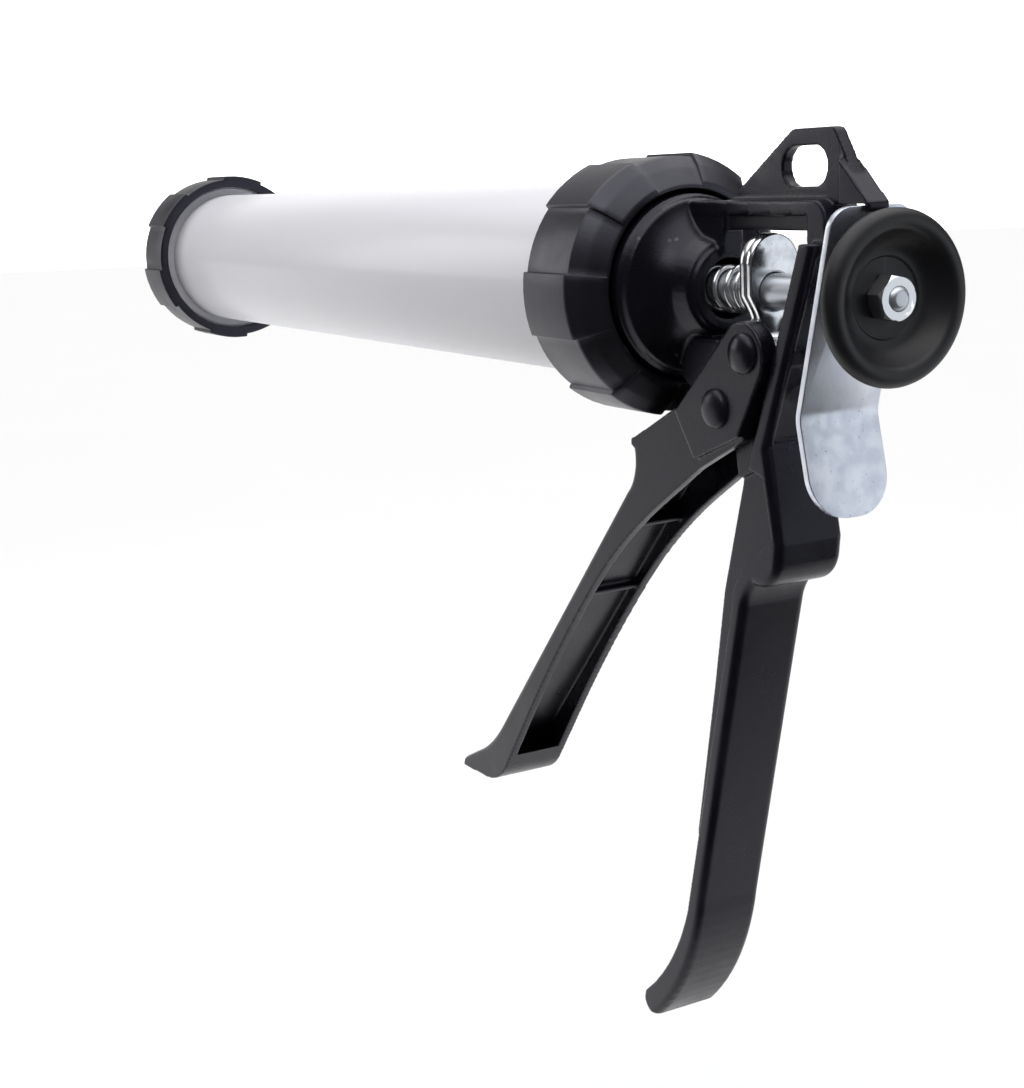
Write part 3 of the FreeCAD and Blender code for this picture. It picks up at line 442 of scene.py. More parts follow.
CASTING = PaintedCasting("black_enamel", "black_casting")
# These enamels lighten their edges less: partly as wear, partly as a painted edge highlight.
RING_ENAMEL = PaintedCasting(
    "ring_enamel", "black_casting", roughness=0.36, gloss=0.62, wear_highlight_strength=0.35
)
PIN_ENAMEL = PaintedCasting("pin_enamel", "black_steel", roughness=0.28, wear_highlight_strength=0.2)
TUBE_COAT = BarrelCoat("tube_coat", "barrel_coat")
ZINC = PlatedSteel("zinc_plate", "zinc_steel")
GRIP_PLATE = PlatedSteel(
    "bright_plate", "bright_steel", light=(0.86, 0.86, 0.88), dark=(0.62, 0.63, 0.67),
    roughness=0.16, specks=0.25,
)
STEEL = BrightSteel("bright_steel", "bright_steel")
ROD_STEEL = BrightSteel(
    "rod_steel", "rod_steel", colour=(0.70, 0.74, 0.82), shade=(0.42, 0.47, 0.58), roughness=0.2
)
SPRING_STEEL = BrightSteel(
    "spring_steel", "spring_steel", colour=(0.82, 0.82, 0.83), shade=(0.5, 0.5, 0.52)
)
KNOB_PLASTIC = MouldedPlastic("knob_plastic", "black_plastic")
CUP_PLASTIC = MouldedPlastic(
    "cup_plastic", "piston_plastic", colour=(0.72, 0.72, 0.69), rubbed=(0.80, 0.80, 0.77)
)
NOZZLE_PLASTIC = MouldedPlastic(
    "nozzle_plastic", "nozzle_plastic", colour=(0.78, 0.78, 0.77), rubbed=(0.86, 0.86, 0.85),
    roughness=0.4,
)


# ------------------------------------------------------------------ mesh work
def new_object(name: str, mesh: bpy.types.Mesh) -> bpy.types.Object:
    """Put a mesh into the scene under a name.

    Args:
        name: Name of the object.
        mesh: Its mesh.

    Returns:
        The new object.
    """
    made = bpy.data.objects.new(name, mesh)
    bpy.context.scene.collection.objects.link(made)
    return made


def settle(piece: bpy.types.Object) -> bpy.types.Object:
    """Turn a piece's modifiers into plain mesh and remove them.

    Args:
        piece: The piece, with its modifiers.

    Returns:
        The same piece, without them.
    """
    bpy.context.view_layer.update()
    graph = bpy.context.evaluated_depsgraph_get()
    mesh = bpy.data.meshes.new_from_object(piece.evaluated_get(graph))
    piece.modifiers.clear()
    piece.data = mesh
    mesh.name = piece.name
    return piece


def shade(piece: bpy.types.Object, crease_degrees: float = 180.0) -> None:
    """Shade a mesh smooth, except over creases sharper than an angle.

    Args:
        piece: The piece to shade.
        crease_degrees: Least angle of an edge that stays sharp.
    """
    piece.data.shade_smooth()
    if crease_degrees < 180.0:
        piece.data.set_sharp_from_angle(angle=math.radians(crease_degrees))


def copy_of(node: str, name: str) -> bpy.types.Object:
    """A merged copy of a CAD node's mesh, as a new object at the origin.

    Args:
        node: The CAD node.
        name: Name of the copy.

    Returns:
        The copy, without materials.
    """
    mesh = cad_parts[node].data.copy()
    mesh.materials.clear()
    work = bmesh.new()
    work.from_mesh(mesh)
    bmesh.ops.remove_doubles(work, verts=work.verts, dist=WELD)
    work.to_mesh(mesh)
    work.free()
    return new_object(name, mesh)


def softened(node: str, name: str, cell: float, passes: int, faces: int) -> bpy.types.Object:
    """A copy of a CAD node with every edge rounded as a casting's are.

    Args:
        node: The CAD node to copy.
        name: Name of the new piece.
        cell: Size in metres of the grid that the shape is resampled on.
        passes: Smoothing passes; more give rounder edges.
        faces: Most triangles that are kept after smoothing.

    Returns:
        The new piece.
    """
    piece = copy_of(node, name)
    remesh = piece.modifiers.new("resample", "REMESH")
    remesh.mode = "VOXEL"
    remesh.voxel_size = cell
    smooth = piece.modifiers.new("round_edges", "SMOOTH")
    smooth.factor = SMOOTHING
    smooth.iterations = passes
    settle(piece)
    thin = piece.modifiers.new("thin_out", "DECIMATE")
    thin.ratio = min(1.0, faces / (2 * len(piece.data.polygons)))
    settle(piece)
    shade(piece)
    return piece


def bevelled(
    node: str, name: str, width: float, crease: float = 28.0, segments: int = 3
) -> bpy.types.Object:
    """A copy of a CAD node with its sharp edges bevelled.

    Args:
        node: The CAD node to copy.
        name: Name of the new piece.
        width: Bevel width in metres.
        crease: Least angle of an edge that is bevelled, in degrees.
        segments: Faces across each bevel.

    Returns:
        The new piece.
    """
    piece = copy_of(node, name)
    work = bmesh.new()
    work.from_mesh(piece.data)
    bmesh.ops.dissolve_limit(
        work, angle_limit=FLAT, use_dissolve_boundaries=False, verts=work.verts, edges=work.edges
    )
    work.to_mesh(piece.data)
    work.free()
    bevel = piece.modifiers.new("edges", "BEVEL")
    bevel.width = width
    bevel.segments = segments
    bevel.limit_method = "ANGLE"
    bevel.angle_limit = math.radians(crease)
    bevel.harden_normals = False
    settle(piece)
    shade(piece, crease)
    return piece


def with_round_corners(corners: Profile, radius: float, steps: int = 4) -> Profile:
    """A closed profile whose corners are replaced by short arcs.

    Args:
        corners: Corner points in order.
        radius: Largest distance along each side that an arc may take up.
        steps: Points in each arc.

    Returns:
        The rounded profile.
    """
    rounded: Profile = []
    count = len(corners)
    for index in range(count):
        before, here, after = (Vector(corners[(index + step) % count]) for step in (-1, 0, 1))
        start, end = (
            here + (other - here).normalized() * min(radius, (other - here).length * MOST_OF_SIDE)
            for other in (before, after)
        )
        for step in range(steps + 1):
            share = step / steps
            point = start.lerp(here, share).lerp(here.lerp(end, share), share)
            rounded.append((point.x, point.y))
    return rounded


def lathe(name: str, profile: Profile, segments: int = 128) -> bpy.types.Object:
    """Turn a closed profile about the X axis.

    Args:
        name: Name of the piece.
        profile: Points as (x, radius), in order round the section. A radius of 0 is on the axis.
        segments: Faces round the axis.

    Returns:
        The turned piece.
    """
    work = bmesh.new()
    rings = []
    for step in range(segments):
        angle = TURN * step / segments
        cos, sin = math.cos(angle), math.sin(angle)
        rings.append([work.verts.new((x, r * cos, r * sin)) for x, r in profile])
    count = len(profile)
    for step in range(segments):
        here, there = rings[step], rings[(step + 1) % segments]
        for index in range(count):
            after = (index + 1) % count
            work.faces.new((here[index], here[after], there[after], there[index]))
    bmesh.ops.remove_doubles(work, verts=work.verts, dist=SAME_POINT)
    bmesh.ops.dissolve_degenerate(work, edges=work.edges, dist=NO_LENGTH)
    bmesh.ops.recalc_face_normals(work, faces=work.faces)
    mesh = bpy.data.meshes.new(name)
    work.to_mesh(mesh)
    work.free()
    return new_object(name, mesh)


def put(piece: bpy.types.Object, body: str, finish: Finish, *nodes: str) -> None:
    """Give a piece its finish, hang it on its body's empty and hide the CAD nodes that it stands
    for.

    Args:
        piece: The finished mesh.
        body: The CAD body that it moves with.
        finish: Its surface.
        nodes: The CAD nodes that it stands for.
    """
    piece.data.materials.clear()
    piece.data.materials.append(finish.material())
    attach(piece, body)
    if nodes:
        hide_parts(*nodes)
    LOG.info("%s: %d faces, rides on %s", piece.name, len(piece.data.polygons), body)


def refinish(node: str, finish: Finish) -> None:
    """Give a CAD node that stays visible a better material.

    Args:
        node: The CAD node.
        finish: Its surface.
    """
    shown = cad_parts[node]
    shown.data.materials.clear()
    shown.data.materials.append(finish.material())
    LOG.info("%s: keeps its CAD shape", node)


# ------------------------------------------------------------------ rule-built shapes
class Recipe:
    """A Geometry Nodes tree with named sizes, run once on an object."""

    def __init__(self, name: str) -> None:
        """Start an empty tree that takes a mesh and gives a mesh.

        Args:
            name: Name of the tree.
        """
        self.tree = bpy.data.node_groups.new(name, "GeometryNodeTree")
        self.bench = Bench(self.tree)
        for way in ("INPUT", "OUTPUT"):
            self.tree.interface.new_socket(
                "Geometry", in_out=way, socket_type="NodeSocketGeometry"
            )
        self.sizes: dict[str, float] = {}
        self.entry: Optional[bpy.types.Node] = None

    def declare(self, **sizes: float) -> None:
        """Add a named input for each size, then the node that they come in by.

        Args:
            sizes: The inputs' names and values.
        """
        for name, value in sizes.items():
            kind = "NodeSocketInt" if isinstance(value, int) else "NodeSocketFloat"
            self.tree.interface.new_socket(name, in_out="INPUT", socket_type=kind)
            self.sizes[name] = value
        self.tree.interface.new_socket("finish", in_out="INPUT", socket_type="NodeSocketMaterial")
        self.entry = self.bench.node("NodeGroupInput")

    def size(self, name: str) -> Wire:
        """A named input as a wire."""
        return Wire(self.bench, self.entry.outputs[name])

    def end(self, geometry: Wire) -> None:
        """Make the copies real, merge them, dress them and give them out.

        Args:
            geometry: What the tree has made.
        """
        real = self.bench.wire("GeometryNodeRealizeInstances", inputs={0: geometry})
        inputs = {"Geometry": real, "Distance": WELD}
        merged = self.bench.wire("GeometryNodeMergeByDistance", inputs=inputs)
        inputs = {"Geometry": merged, "Material": self.size("finish")}
        dressed = self.bench.wire("GeometryNodeSetMaterial", inputs=inputs)
        self.bench.node("NodeGroupOutput", inputs={0: dressed})

    def run(self, name: str, mesh: bpy.types.Mesh, finish: Finish) -> bpy.types.Object:
        """Run the tree on a mesh and return the plain result.

        Args:
            name: Name of the piece.
            mesh: The mesh that goes in.
            finish: The material that Set Material puts on.

        Returns:
            The made piece, without the modifier.
        """
        piece = new_object(name, mesh)
        modifier = piece.modifiers.new(name, "NODES")
        modifier.node_group = self.tree
        values = {**self.sizes, "finish": finish.material()}
        for item in self.tree.interface.items_tree:
            if item.in_out == "INPUT" and item.name in values:
                modifier[item.identifier] = values[item.name]
        return settle(piece)


class RingRecipe(Recipe):
    """Repeats one sector of a ring round the X axis until it closes."""

    def __init__(self, name: str, count: int, start_degrees: float) -> None:
        """Build the tree.

        Args:
            name: Name of the tree.
            count: Number of sectors.
            start_degrees: Angle of the first one.
        """
        super().__init__(name)
        self.declare(sectors=count, start=math.radians(start_degrees))
        bench = self.bench
        index = bench.wire("GeometryNodeInputIndex")
        turn = index * TURN / self.size("sectors") + self.size("start")
        points = bench.wire("GeometryNodePoints", inputs={"Count": self.size("sectors")})
        rotation = bench.vector(turn, 0.0, 0.0)
        inputs = {"Points": points, "Instance": self.size("Geometry"), "Rotation": rotation}
        self.end(bench.wire("GeometryNodeInstanceOnPoints", inputs=inputs))


class CoilRecipe(Recipe):
    """Winds a round wire along the X axis, with its end turns closed up."""

    CLOSING = 0.72
    STEPS_PER_TURN = 40
    SIDES = 14

    def __init__(
        self, name: str, start: float, length: float, height: float, radius: float, wire: float,
        turns: float,
    ) -> None:
        """Build the tree.

        Args:
            name: Name of the tree.
            start: X of the first end.
            length: Length along X of the wire's centre line.
            height: Z of the coil's axis.
            radius: Mean radius of the coil.
            wire: Radius of the wire.
            turns: Number of turns.
        """
        super().__init__(name)
        self.declare(
            start=start, length=length, height=height, radius=radius, wire=wire, turns=turns
        )
        bench = self.bench
        steps = int(turns * self.STEPS_PER_TURN)
        line = bench.wire("GeometryNodeMeshLine", inputs={"Count": steps})
        share = bench.wire("GeometryNodeInputIndex") / (steps - 1.0)
        closed = share - (share * TURN).sine() * (self.CLOSING / TURN)
        angle = share * self.size("turns") * TURN
        x = closed * self.size("length") + self.size("start")
        y = angle.cosine() * self.size("radius")
        z = angle.sine() * self.size("radius") + self.size("height")
        inputs = {"Geometry": line, "Position": bench.vector(x, y, z)}
        placed = bench.wire("GeometryNodeSetPosition", inputs=inputs)
        path = bench.wire("GeometryNodeMeshToCurve", inputs={0: placed})
        inputs = {"Resolution": self.SIDES, "Radius": self.size("wire")}
        section = bench.wire("GeometryNodeCurvePrimitiveCircle", inputs=inputs)
        inputs = {"Curve": path, "Profile Curve": section, "Fill Caps": True}
        self.end(bench.wire("GeometryNodeCurveToMesh", inputs=inputs))


class HeadRecipe(Recipe):
    """Puts one rivet head at each end of a shank that runs along Y."""

    def __init__(self, name: str, x: float, z: float, reach: float) -> None:
        """Build the tree.

        Args:
            name: Name of the tree.
            x: The pin's place along X.
            z: The pin's height.
            reach: How far from the middle each head sits along Y.
        """
        super().__init__(name)
        self.declare(x=x, z=z, reach=reach)
        bench = self.bench
        index = bench.wire("GeometryNodeInputIndex")
        end = self.size("reach") * (1.0 - index * 2.0)
        inputs = {"Count": 2, "Position": bench.vector(self.size("x"), end, self.size("z"))}
        points = bench.wire("GeometryNodePoints", inputs=inputs)
        rotation = bench.vector(0.0, 0.0, index * math.pi)
        inputs = {"Points": points, "Instance": self.size("Geometry"), "Rotation": rotation}
        self.end(bench.wire("GeometryNodeInstanceOnPoints", inputs=inputs))


def wind(
    node: str, body: str, height: float, radius: float, wire: float, turns: float
) -> None:
    """Wind a spring as long as a CAD spring and put it in its place.

    Args:
        node: The CAD spring.
        body: The CAD body that it moves with.
        height: Z of the coil's axis.
        radius: Mean radius of the coil.
        wire: Thickness of the wire.
        turns: Number of turns.
    """
    low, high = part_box(node)
    length = high[0] - low[0] - wire
    recipe = CoilRecipe(f"{node}_tree", low[0] + wire / 2, length, height, radius, wire / 2, turns)
    spring = recipe.run(f"{node}_coil", bpy.data.meshes.new(f"{node}_seed"), SPRING_STEEL)
    shade(spring, 50.0)
    put(spring, body, SPRING_STEEL, node)


# ------------------------------------------------------------------ sub-assemblies
class Facing(Enum):
    """Which way a screw ring's closed face points along X."""

    REAR = -1
    FRONT = 1


@dataclass
class Barrel:
    """Pale tube with a threaded collar at each end, inside the two screw rings."""

    wall: float = 1.5 * MM
    lip: float = 0.5 * MM
    thread_depth: float = 0.9 * MM
    thread_pitch: float = 3.0 * MM
    thread_form: Pairs = ((0.02, 1.0), (0.25, 0.0), (0.60, 0.0), (0.83, 1.0))
    sides: int = 160
    collar_sides: int = 96

    def build(self) -> None:
        """Make the tube and the collars."""
        low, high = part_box("barrel_tube")
        outer = high[2]
        inner = outer - self.wall
        corners = [(low[0], inner), (high[0], inner), (high[0], outer), (low[0], outer)]
        tube = lathe("barrel", with_round_corners(corners, self.lip, 3), self.sides)
        shade(tube, 35.0)
        put(tube, "barrel_body", TUBE_COAT, "barrel_tube")
        for node in ("rear_collar", "front_collar"):
            self.collar(node, outer)

    def collar(self, node: str, inner: float) -> None:
        """Make one collar, ridged like a coarse thread.

        Args:
            node: The CAD collar.
            inner: Radius that the collar sits on.
        """
        low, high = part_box(node)
        crest = high[2]
        profile: Profile = [(high[0], inner), (low[0], inner)]
        turns = int((high[0] - low[0]) / self.thread_pitch)
        for turn in range(turns):
            start = low[0] + turn * self.thread_pitch
            for share, depth in self.thread_form:
                x = start + share * self.thread_pitch
                profile.append((x, crest - depth * self.thread_depth))
        profile.append((high[0], crest - self.thread_depth))
        piece = lathe(f"{node}_thread", profile, self.collar_sides)
        shade(piece, 25.0)
        put(piece, "barrel_body", TUBE_COAT, node)


@dataclass
class ScrewRing:
    """Screw ring with six raised finger pads that run on over its coned face."""

    node: str
    body: str
    facing: Facing
    first_pad: float
    pads: int = 6
    pad_angle: float = 29.0
    pad_height: float = 1.2 * MM
    width: float = 22.8 * MM
    wall: float = 3.45 * MM
    shoulder: float = 3.4 * MM
    shoulder_slope: float = 0.92
    nose: float = 3.6 * MM
    nose_width: float = 1.0 * MM
    raised_nose_width: float = 2.0 * MM
    seat_set_back: float = 1.35 * MM
    lip_radius: float = 25.8 * MM
    edge: float = 0.7 * MM
    crease: float = 32.0
    rise_angle: float = 0.42
    rise: Pairs = ((-1.0, 0.0), (-0.55, 0.06), (-0.2, 0.25), (0.2, 0.75), (0.55, 0.94), (1.0, 1.0))
    pad_shares: tuple[float, ...] = (0.12, 0.3, 0.5, 0.7, 0.88)
    hollow_shares: tuple[float, ...] = (1.0, 0.92, 0.78, 0.62)

    def section(self, raised: bool) -> Profile:
        """The ring's closed section.

        Args:
            raised: Whether the section is cut through a pad or between two.

        Returns:
            Points as (distance from the open end, radius).
        """
        low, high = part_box(self.node)
        lift = self.pad_height if raised else 0.0
        pad_radius = max(high[2], -low[2], high[1], -low[1])
        rim = pad_radius - self.pad_height + lift
        bore = pad_radius - self.pad_height - self.wall
        depth = self.width + self.shoulder + self.nose
        cone = rim - self.shoulder_slope * self.shoulder
        nose = self.lip_radius + (self.raised_nose_width if raised else self.nose_width)
        seat = self.width + self.seat_set_back
        corners = [
            (0.0, bore), (0.0, rim), (self.width, rim), (self.width + self.shoulder, cone),
            (depth, nose), (depth, self.lip_radius), (seat, self.lip_radius), (seat, bore),
        ]
        return with_round_corners(corners, self.edge)

    def angles(self) -> list[tuple[float, float]]:
        """Angles across one sector.

        Returns:
            Angles in degrees, each with how far the pad is raised there, from 0 to 1.
        """
        half = self.pad_angle / 2
        sector = 180.0 / self.pads
        left = [(-half + self.rise_angle * place, lift) for place, lift in self.rise]
        flat = [(-half + self.pad_angle * share, 1.0) for share in self.pad_shares]
        right = [(-angle, lift) for angle, lift in reversed(left)]
        hollow = [(-share * sector, 0.0) for share in self.hollow_shares]
        return hollow + left + flat + right + [(-angle, 0.0) for angle, _ in reversed(hollow)]

    def build(self) -> None:
        """Make one sector and repeat it round the axis."""
        low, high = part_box(self.node)
        open_end = high[0] if self.facing is Facing.REAR else low[0]
        flat, raised = self.section(False), self.section(True)
        work = bmesh.new()
        rows = []
        for degrees, lift in self.angles():
            turn = math.radians(degrees)
            row = []
            for (near, low_r), (far, high_r) in zip(flat, raised):
                along, radius = near + (far - near) * lift, low_r + (high_r - low_r) * lift
                x = open_end + self.facing.value * along
                row.append(work.verts.new((x, radius * math.cos(turn), radius * math.sin(turn))))
            rows.append(row)
        count = len(flat)
        for here, there in zip(rows, rows[1:]):
            for index in range(count):
                after = (index + 1) % count
                work.faces.new((here[index], here[after], there[after], there[index]))
        if self.facing is Facing.REAR:
            bmesh.ops.reverse_faces(work, faces=work.faces)
        mesh = bpy.data.meshes.new(f"{self.node}_sector")
        work.to_mesh(mesh)
        work.free()
        recipe = RingRecipe(f"{self.node}_recipe", self.pads, self.first_pad)
        ring = recipe.run(f"{self.node}_padded", mesh, RING_ENAMEL)
        shade(ring, self.crease)
        put(ring, self.body, RING_ENAMEL, self.node)


@dataclass
class Nozzle:
    """Cone nozzle that the front ring traps."""

    tip_edge: float = 0.6 * MM

    def build(self) -> None:
        """Round the CAD nozzle's edges."""
        piece = bevelled("nozzle", "nozzle_cone", self.tip_edge)
        put(piece, "nozzle_body", NOZZLE_PLASTIC, "nozzle")


@dataclass
class RodSet:
    """Push rod with its knob and nut, and the piston inside the barrel."""

    rod_edge: float = 0.5 * MM
    nut_edge: float = 0.25 * MM
    nut_crease: float = 25.0
    rim: float = 2.8 * MM
    rim_start: int = 20
    rim_end: int = 226
    rim_step: int = 12
    hub: float = 7.5 * MM
    hub_edge: float = 0.6 * MM
    hub_crown: float = 0.1 * MM
    back_curve: Pairs = ((1.4 * MM, 10.2 * MM), (2.6 * MM, 13.0 * MM), (4.6 * MM, 16.2 * MM))
    boss: float = 9.4 * MM
    step: float = 0.45 * MM
    step_foot: float = 0.3
    dish_steps: int = 14
    bore: float = 3.0 * MM
    sides: int = 144

    def build(self) -> None:
        """Make the rod, the knob and the nut, and refinish what is inside the barrel."""
        rod = bevelled("rod", "push_rod", self.rod_edge)
        put(rod, "rod_body", ROD_STEEL, "rod")
        self.knob()
        nut = bevelled("knob_nut", "end_nut", self.nut_edge, self.nut_crease)
        put(nut, "rod_body", STEEL, "knob_nut")
        refinish("piston_cup", CUP_PLASTIC)
        refinish("piston_plate", ZINC)
        refinish("piston_washer", ZINC)
        refinish("piston_nut", STEEL)

    def dish(self, rim: tuple[float, float], hub: tuple[float, float]) -> Profile:
        """The sunk face's curve from the rolled rim down to the flat round the nut.

        Args:
            rim: Where the roll leaves off, as (x, radius).
            hub: Where the flat begins.

        Returns:
            Points between them, with a shallow step at the hub.
        """
        step_x, step_r = hub[0] - self.step, hub[1] + self.step
        points: Profile = []
        for index in range(1, self.dish_steps + 1):
            share = index / self.dish_steps
            fall = 1.0 - (1.0 - share) ** 2
            points.append((rim[0] + (step_x - rim[0]) * fall, rim[1] + (step_r - rim[1]) * share))
        foot = self.step_foot * self.step
        return points + [(hub[0] - foot, hub[1] + foot), hub]

    def knob(self) -> None:
        """Turn the dished knob: hub, back of the dish, rolled rim and sunk face."""
        low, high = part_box("knob")
        back, front, outer = low[0], high[0], high[2]
        centre_x, centre_r = back + self.rim, outer - self.rim
        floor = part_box("knob_nut")[1][0]
        profile: Profile = [
            (front, self.bore),
            (front - self.hub_crown, self.hub - self.hub_edge),
            (front - self.hub_edge, self.hub),
        ]
        profile += [(front - behind, radius) for behind, radius in self.back_curve]
        for degrees in range(self.rim_start, self.rim_end + 1, self.rim_step):
            turn = math.radians(degrees)
            x = centre_x + self.rim * math.cos(turn)
            profile.append((x, centre_r + self.rim * math.sin(turn)))
        profile += self.dish(profile[-1], (floor, self.boss))
        profile.append((floor, self.bore))
        knob = lathe("pull_knob", profile, self.sides)
        shade(knob, 40.0)
        put(knob, "rod_body", KNOB_PLASTIC, "knob")


@dataclass
class Castings:
    """The two black die castings: the frame with its grip, and the trigger."""

    cell: float = 0.40 * MM
    passes: int = 4
    faces: int = 180_000

    def build(self) -> None:
        """Round the castings' edges."""
        body = softened("frame", "frame_casting", self.cell, self.passes, self.faces)
        put(body, "handle_body", CASTING, "frame")
        trigger = softened("trigger", "trigger_casting", self.cell, self.passes, self.faces)
        put(trigger, "trigger_body", CASTING, "trigger")


@dataclass
class Rivet:
    """Black rivet across the trigger's ears, with a low domed head at each end."""

    node: str
    body: str
    head_height: float = 2.6 * MM
    rim: float = 0.5 * MM
    dome_steps: int = 8
    sides: int = 48
    shank_sides: int = 40
    shank_share: float = 0.55
    overlap: float = 0.2 * MM

    def build(self) -> None:
        """Make one head, put it at both ends, and add the shank."""
        low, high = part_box(self.node)
        x, z = (low[0] + high[0]) / 2, (low[2] + high[2]) / 2
        radius = (high[0] - low[0]) / 2
        reach = high[1] - self.head_height
        profile: Profile = [(0.0, 0.0), (0.0, radius)]
        for step in range(self.dome_steps + 1):
            share = step / self.dome_steps
            angle = math.pi / 2 * share
            r = (radius - self.rim) * math.cos(angle) + self.rim * (1 - share)
            rise = self.rim + (self.head_height - self.rim) * math.sin(angle)
            profile.append((rise, max(r, 0.0)))
        head = lathe(f"{self.node}_head", profile, self.sides)
        head.data.transform(Matrix.Rotation(math.pi / 2, 4, "Z"))
        mesh = head.data
        bpy.data.objects.remove(head)
        recipe = HeadRecipe(f"{self.node}_heads", x, z, reach)
        heads = recipe.run(f"{self.node}_rivet", mesh, PIN_ENAMEL)
        work = bmesh.new()
        work.from_mesh(heads.data)
        place = Matrix.Translation((x, 0, z)) @ Matrix.Rotation(math.pi / 2, 4, "X")
        shank = radius * self.shank_share
        bmesh.ops.create_cone(
            work, cap_ends=True, segments=self.shank_sides, radius1=shank, radius2=shank,
            depth=2 * reach + self.overlap, matrix=place,
        )
        work.to_mesh(heads.data)
        work.free()
        shade(heads, 35.0)
        put(heads, self.body, PIN_ENAMEL, self.node)


@dataclass
class DriveGear:
    """Gripping plates, their return spring, and the roller that pushes them."""

    plate_edge: float = 0.6 * MM
    wire: float = 1.4 * MM
    turns: float = 8.0

    def build(self) -> None:
        """Make the plates, the spring and the roller."""
        for node in ("drive_plate_front", "drive_plate_rear"):
            plate = bevelled(node, f"{node}_steel", self.plate_edge)
            put(plate, "plates_body", GRIP_PLATE, node)
        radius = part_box("return_spring")[1][2] - self.wire / 2
        wind("return_spring", "plates_body", 0.0, radius, self.wire, self.turns)
        refinish("drive_roller", STEEL)


@dataclass
class Release:
    """Zinc-plated release lever and the small spring behind it."""

    edge: float = 0.45 * MM
    wire: float = 1.0 * MM
    turns: float = 4.5

    def build(self) -> None:
        """Make the lever and its spring."""
        lever = bevelled("release_lever", "lever_plate", self.edge)
        put(lever, "lever_body", ZINC, "release_lever")
        low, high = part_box("release_spring")
        height = (low[2] + high[2]) / 2
        radius = (high[2] - low[2] - self.wire) / 2
        wind("release_spring", "lever_body", height, radius, self.wire, self.turns)


@dataclass(frozen=True)
class Lamp:
    """One soft box."""

    name: str
    place: tuple[float, float, float]
    width: float
    height: float
    watts: float
    colour: Colour = (1.0, 1.0, 1.0)

    def hang(self, target: Vector) -> None:
        """Put the lamp in its place and point it at a target.

        Args:
            target: The point that it faces.
        """
        data = bpy.data.lights.new(self.name, "AREA")
        data.shape = "RECTANGLE"
        data.size = self.width
        data.size_y = self.height
        data.energy = self.watts
        data.color = self.colour
        made = bpy.data.objects.new(self.name, data)
        place = Vector(self.place)
        turn = (target - place).to_track_quat("-Z", "Y").to_matrix().to_4x4()
        made.matrix_world = Matrix.Translation(place) @ turn
        bpy.context.scene.collection.objects.link(made)


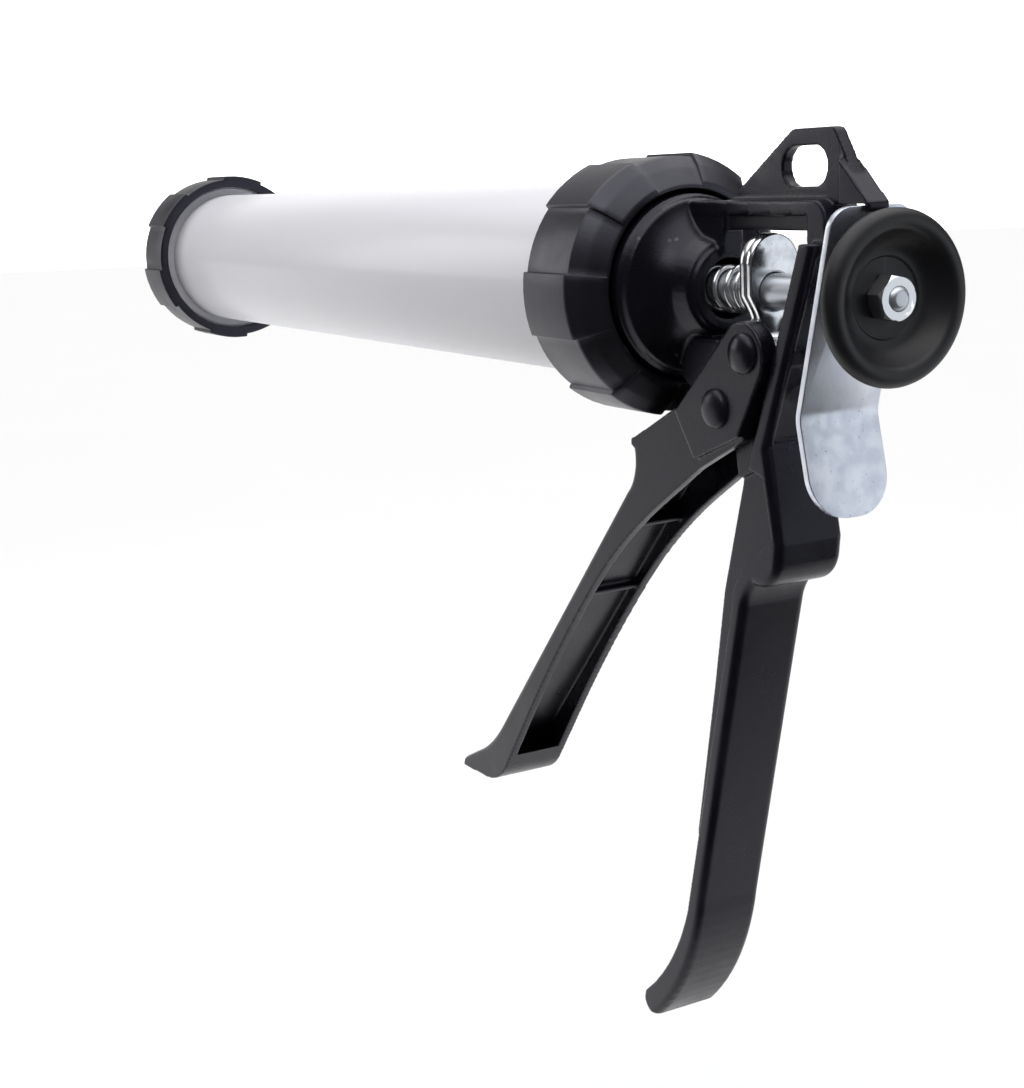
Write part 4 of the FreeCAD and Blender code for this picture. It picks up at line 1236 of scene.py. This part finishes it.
@dataclass
class Studio:
    """Plain pale floor, soft lights and the camera."""

    floor_z: float = -0.36
    floor_near: float = 0.35
    floor_far: float = 9.0
    floor_half_width: float = 9.0
    floor_colour: Colour = (0.80, 0.80, 0.80)
    floor_cloud: Colour = (0.9, 0.9, 0.9)
    wall_light: float = 1.0
    wall_cone: tuple[float, float] = (0.68, 0.90)
    ceiling_light: float = 2.0
    ceiling_cone: tuple[float, float] = (0.45, 0.85)
    room_light: float = 0.06
    eye: tuple[float, float, float] = (-0.8621, 0.2683, 0.0325)
    yaw: float = -0.489
    pitch: float = -0.211
    roll: float = -0.045
    lens: float = 57.57
    sensor: float = 36.0
    nearest: float = 0.01
    target: tuple[float, float, float] = (-0.45, 0.0, -0.04)
    lamps: tuple[Lamp, ...] = (
        Lamp("key", (-0.9, 0.7, 0.9), 0.5, 0.5, 1.0),
        Lamp("side", (0.55, 0.62, 0.28), 0.45, 0.55, 1.9),
        Lamp("behind", (-1.45, -0.85, 0.0), 1.1, 1.1, 3.4, (0.88, 0.94, 1.0)),
    )

    def build(self) -> None:
        """Set the stage."""
        self.floor()
        self.world()
        for lamp in self.lamps:
            lamp.hang(Vector(self.target))
        self.camera()

    def floor(self) -> None:
        """Lay a plain pale floor. Its near half isn't mirrored, so black stays black."""
        ahead = self.ahead()
        away = Vector((ahead.x, ahead.y, 0.0)).normalized()
        across = Vector((-away.y, away.x, 0.0)) * self.floor_half_width
        under_eye = Vector((self.eye[0], self.eye[1], self.floor_z))
        material = bpy.data.materials.new("floor_paint")
        bench = ShaderBench(material)
        grain = bench.noise(3.0, 2.0)
        bench.set("Base Color", bench.mix(grain * 0.1, self.floor_colour, self.floor_cloud))
        bench.set("Roughness", grain * 0.1 + 0.6)
        halves = (
            ("floor", self.floor_near, self.floor_far, True),
            ("floor_behind", -self.floor_far, self.floor_near, False),
        )
        for name, start, end, mirrored in halves:
            near, far = under_eye + away * start, under_eye + away * end
            corners = [near - across, far - across, far + across, near + across]
            mesh = bpy.data.meshes.new(name)
            mesh.from_pydata(corners, [], [(0, 1, 2, 3)])
            mesh.materials.append(material)
            sheet = new_object(name, mesh)
            sheet.visible_glossy = sheet.visible_diffuse = mirrored

    def world(self) -> None:
        """Fill the room: a bright ceiling and a bright wall beyond the gun, dim all round.

        What is seen beyond the floor is plain white from every side.
        """
        world = bpy.data.worlds.new("studio")
        bpy.context.scene.world = world
        world.use_nodes = True
        bench = Bench(world.node_tree)
        bench.tree.nodes.clear()
        ray = bench.wire("ShaderNodeTexCoord", output="Generated")
        wall = self.toward(bench, ray, self.ahead(), self.wall_cone)
        ceiling = self.toward(bench, ray, Vector((0.0, 0.0, 1.0)), self.ceiling_cone)
        seen = bench.wire("ShaderNodeLightPath", output="Is Camera Ray")
        strength = wall * self.wall_light + ceiling * self.ceiling_light + self.room_light
        strength = strength + seen * self.wall_light
        inputs = {"Color": (1.0, 1.0, 1.0, 1.0), "Strength": strength}
        light = bench.wire("ShaderNodeBackground", inputs=inputs)
        bench.node("ShaderNodeOutputWorld", inputs={0: light})
        bpy.context.scene.view_settings.view_transform = "Standard"

    def toward(
        self, bench: Bench, ray: Wire, way: Vector, cone: tuple[float, float]
    ) -> Wire:
        """How nearly a ray points one way, from 0 to 1.

        Args:
            bench: The node tree.
            ray: The ray's direction.
            way: The direction to compare with.
            cone: Cosines of the angles where the result is 0 and where it is 1.

        Returns:
            The share.
        """
        inputs = {0: ray, 1: tuple(way)}
        cosine = bench.wire("ShaderNodeVectorMath", {"operation": "DOT_PRODUCT"}, inputs, "Value")
        settings = {"interpolation_type": "SMOOTHSTEP"}
        inputs = {"Value": cosine, 1: cone[0], 2: cone[1]}
        return bench.wire("ShaderNodeMapRange", settings, inputs)

    def ahead(self) -> Vector:
        """The way that the camera looks."""
        level, rise = math.cos(self.pitch), math.sin(self.pitch)
        return Vector((level * math.cos(self.yaw), level * math.sin(self.yaw), rise))

    def camera(self) -> None:
        """Stand the camera behind the gun, to its left and a little above."""
        ahead = self.ahead()
        right = ahead.cross(Vector((0, 0, 1))).normalized()
        up = right.cross(ahead)
        across = right * math.cos(self.roll) + up * math.sin(self.roll)
        upright = up * math.cos(self.roll) - right * math.sin(self.roll)
        turn = Matrix((across, upright, -ahead)).transposed().to_4x4()
        data = bpy.data.cameras.new("camera")
        data.lens = self.lens
        data.sensor_width = self.sensor
        data.clip_start = self.nearest
        made = bpy.data.objects.new("camera", data)
        made.matrix_world = Matrix.Translation(Vector(self.eye)) @ turn
        bpy.context.scene.collection.objects.link(made)
        bpy.context.scene.camera = made


def main() -> None:
    """Build the studio, then every sub-assembly in order."""
    logging.basicConfig(level=logging.INFO, format="%(name)s %(message)s")
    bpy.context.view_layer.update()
    Studio().build()
    assemblies = [
        Barrel(),
        ScrewRing("rear_ring", "rear_ring_body", Facing.REAR, -6.0),
        ScrewRing("front_ring", "front_ring_body", Facing.FRONT, -20.0),
        Nozzle(),
        RodSet(),
        Castings(),
        Rivet("pivot_pin", "handle_body"),
        Rivet("drive_pin", "trigger_body"),
        DriveGear(),
        Release(),
    ]
    for assembly in assemblies:
        assembly.build()


if __name__ == "__main__":
    main()
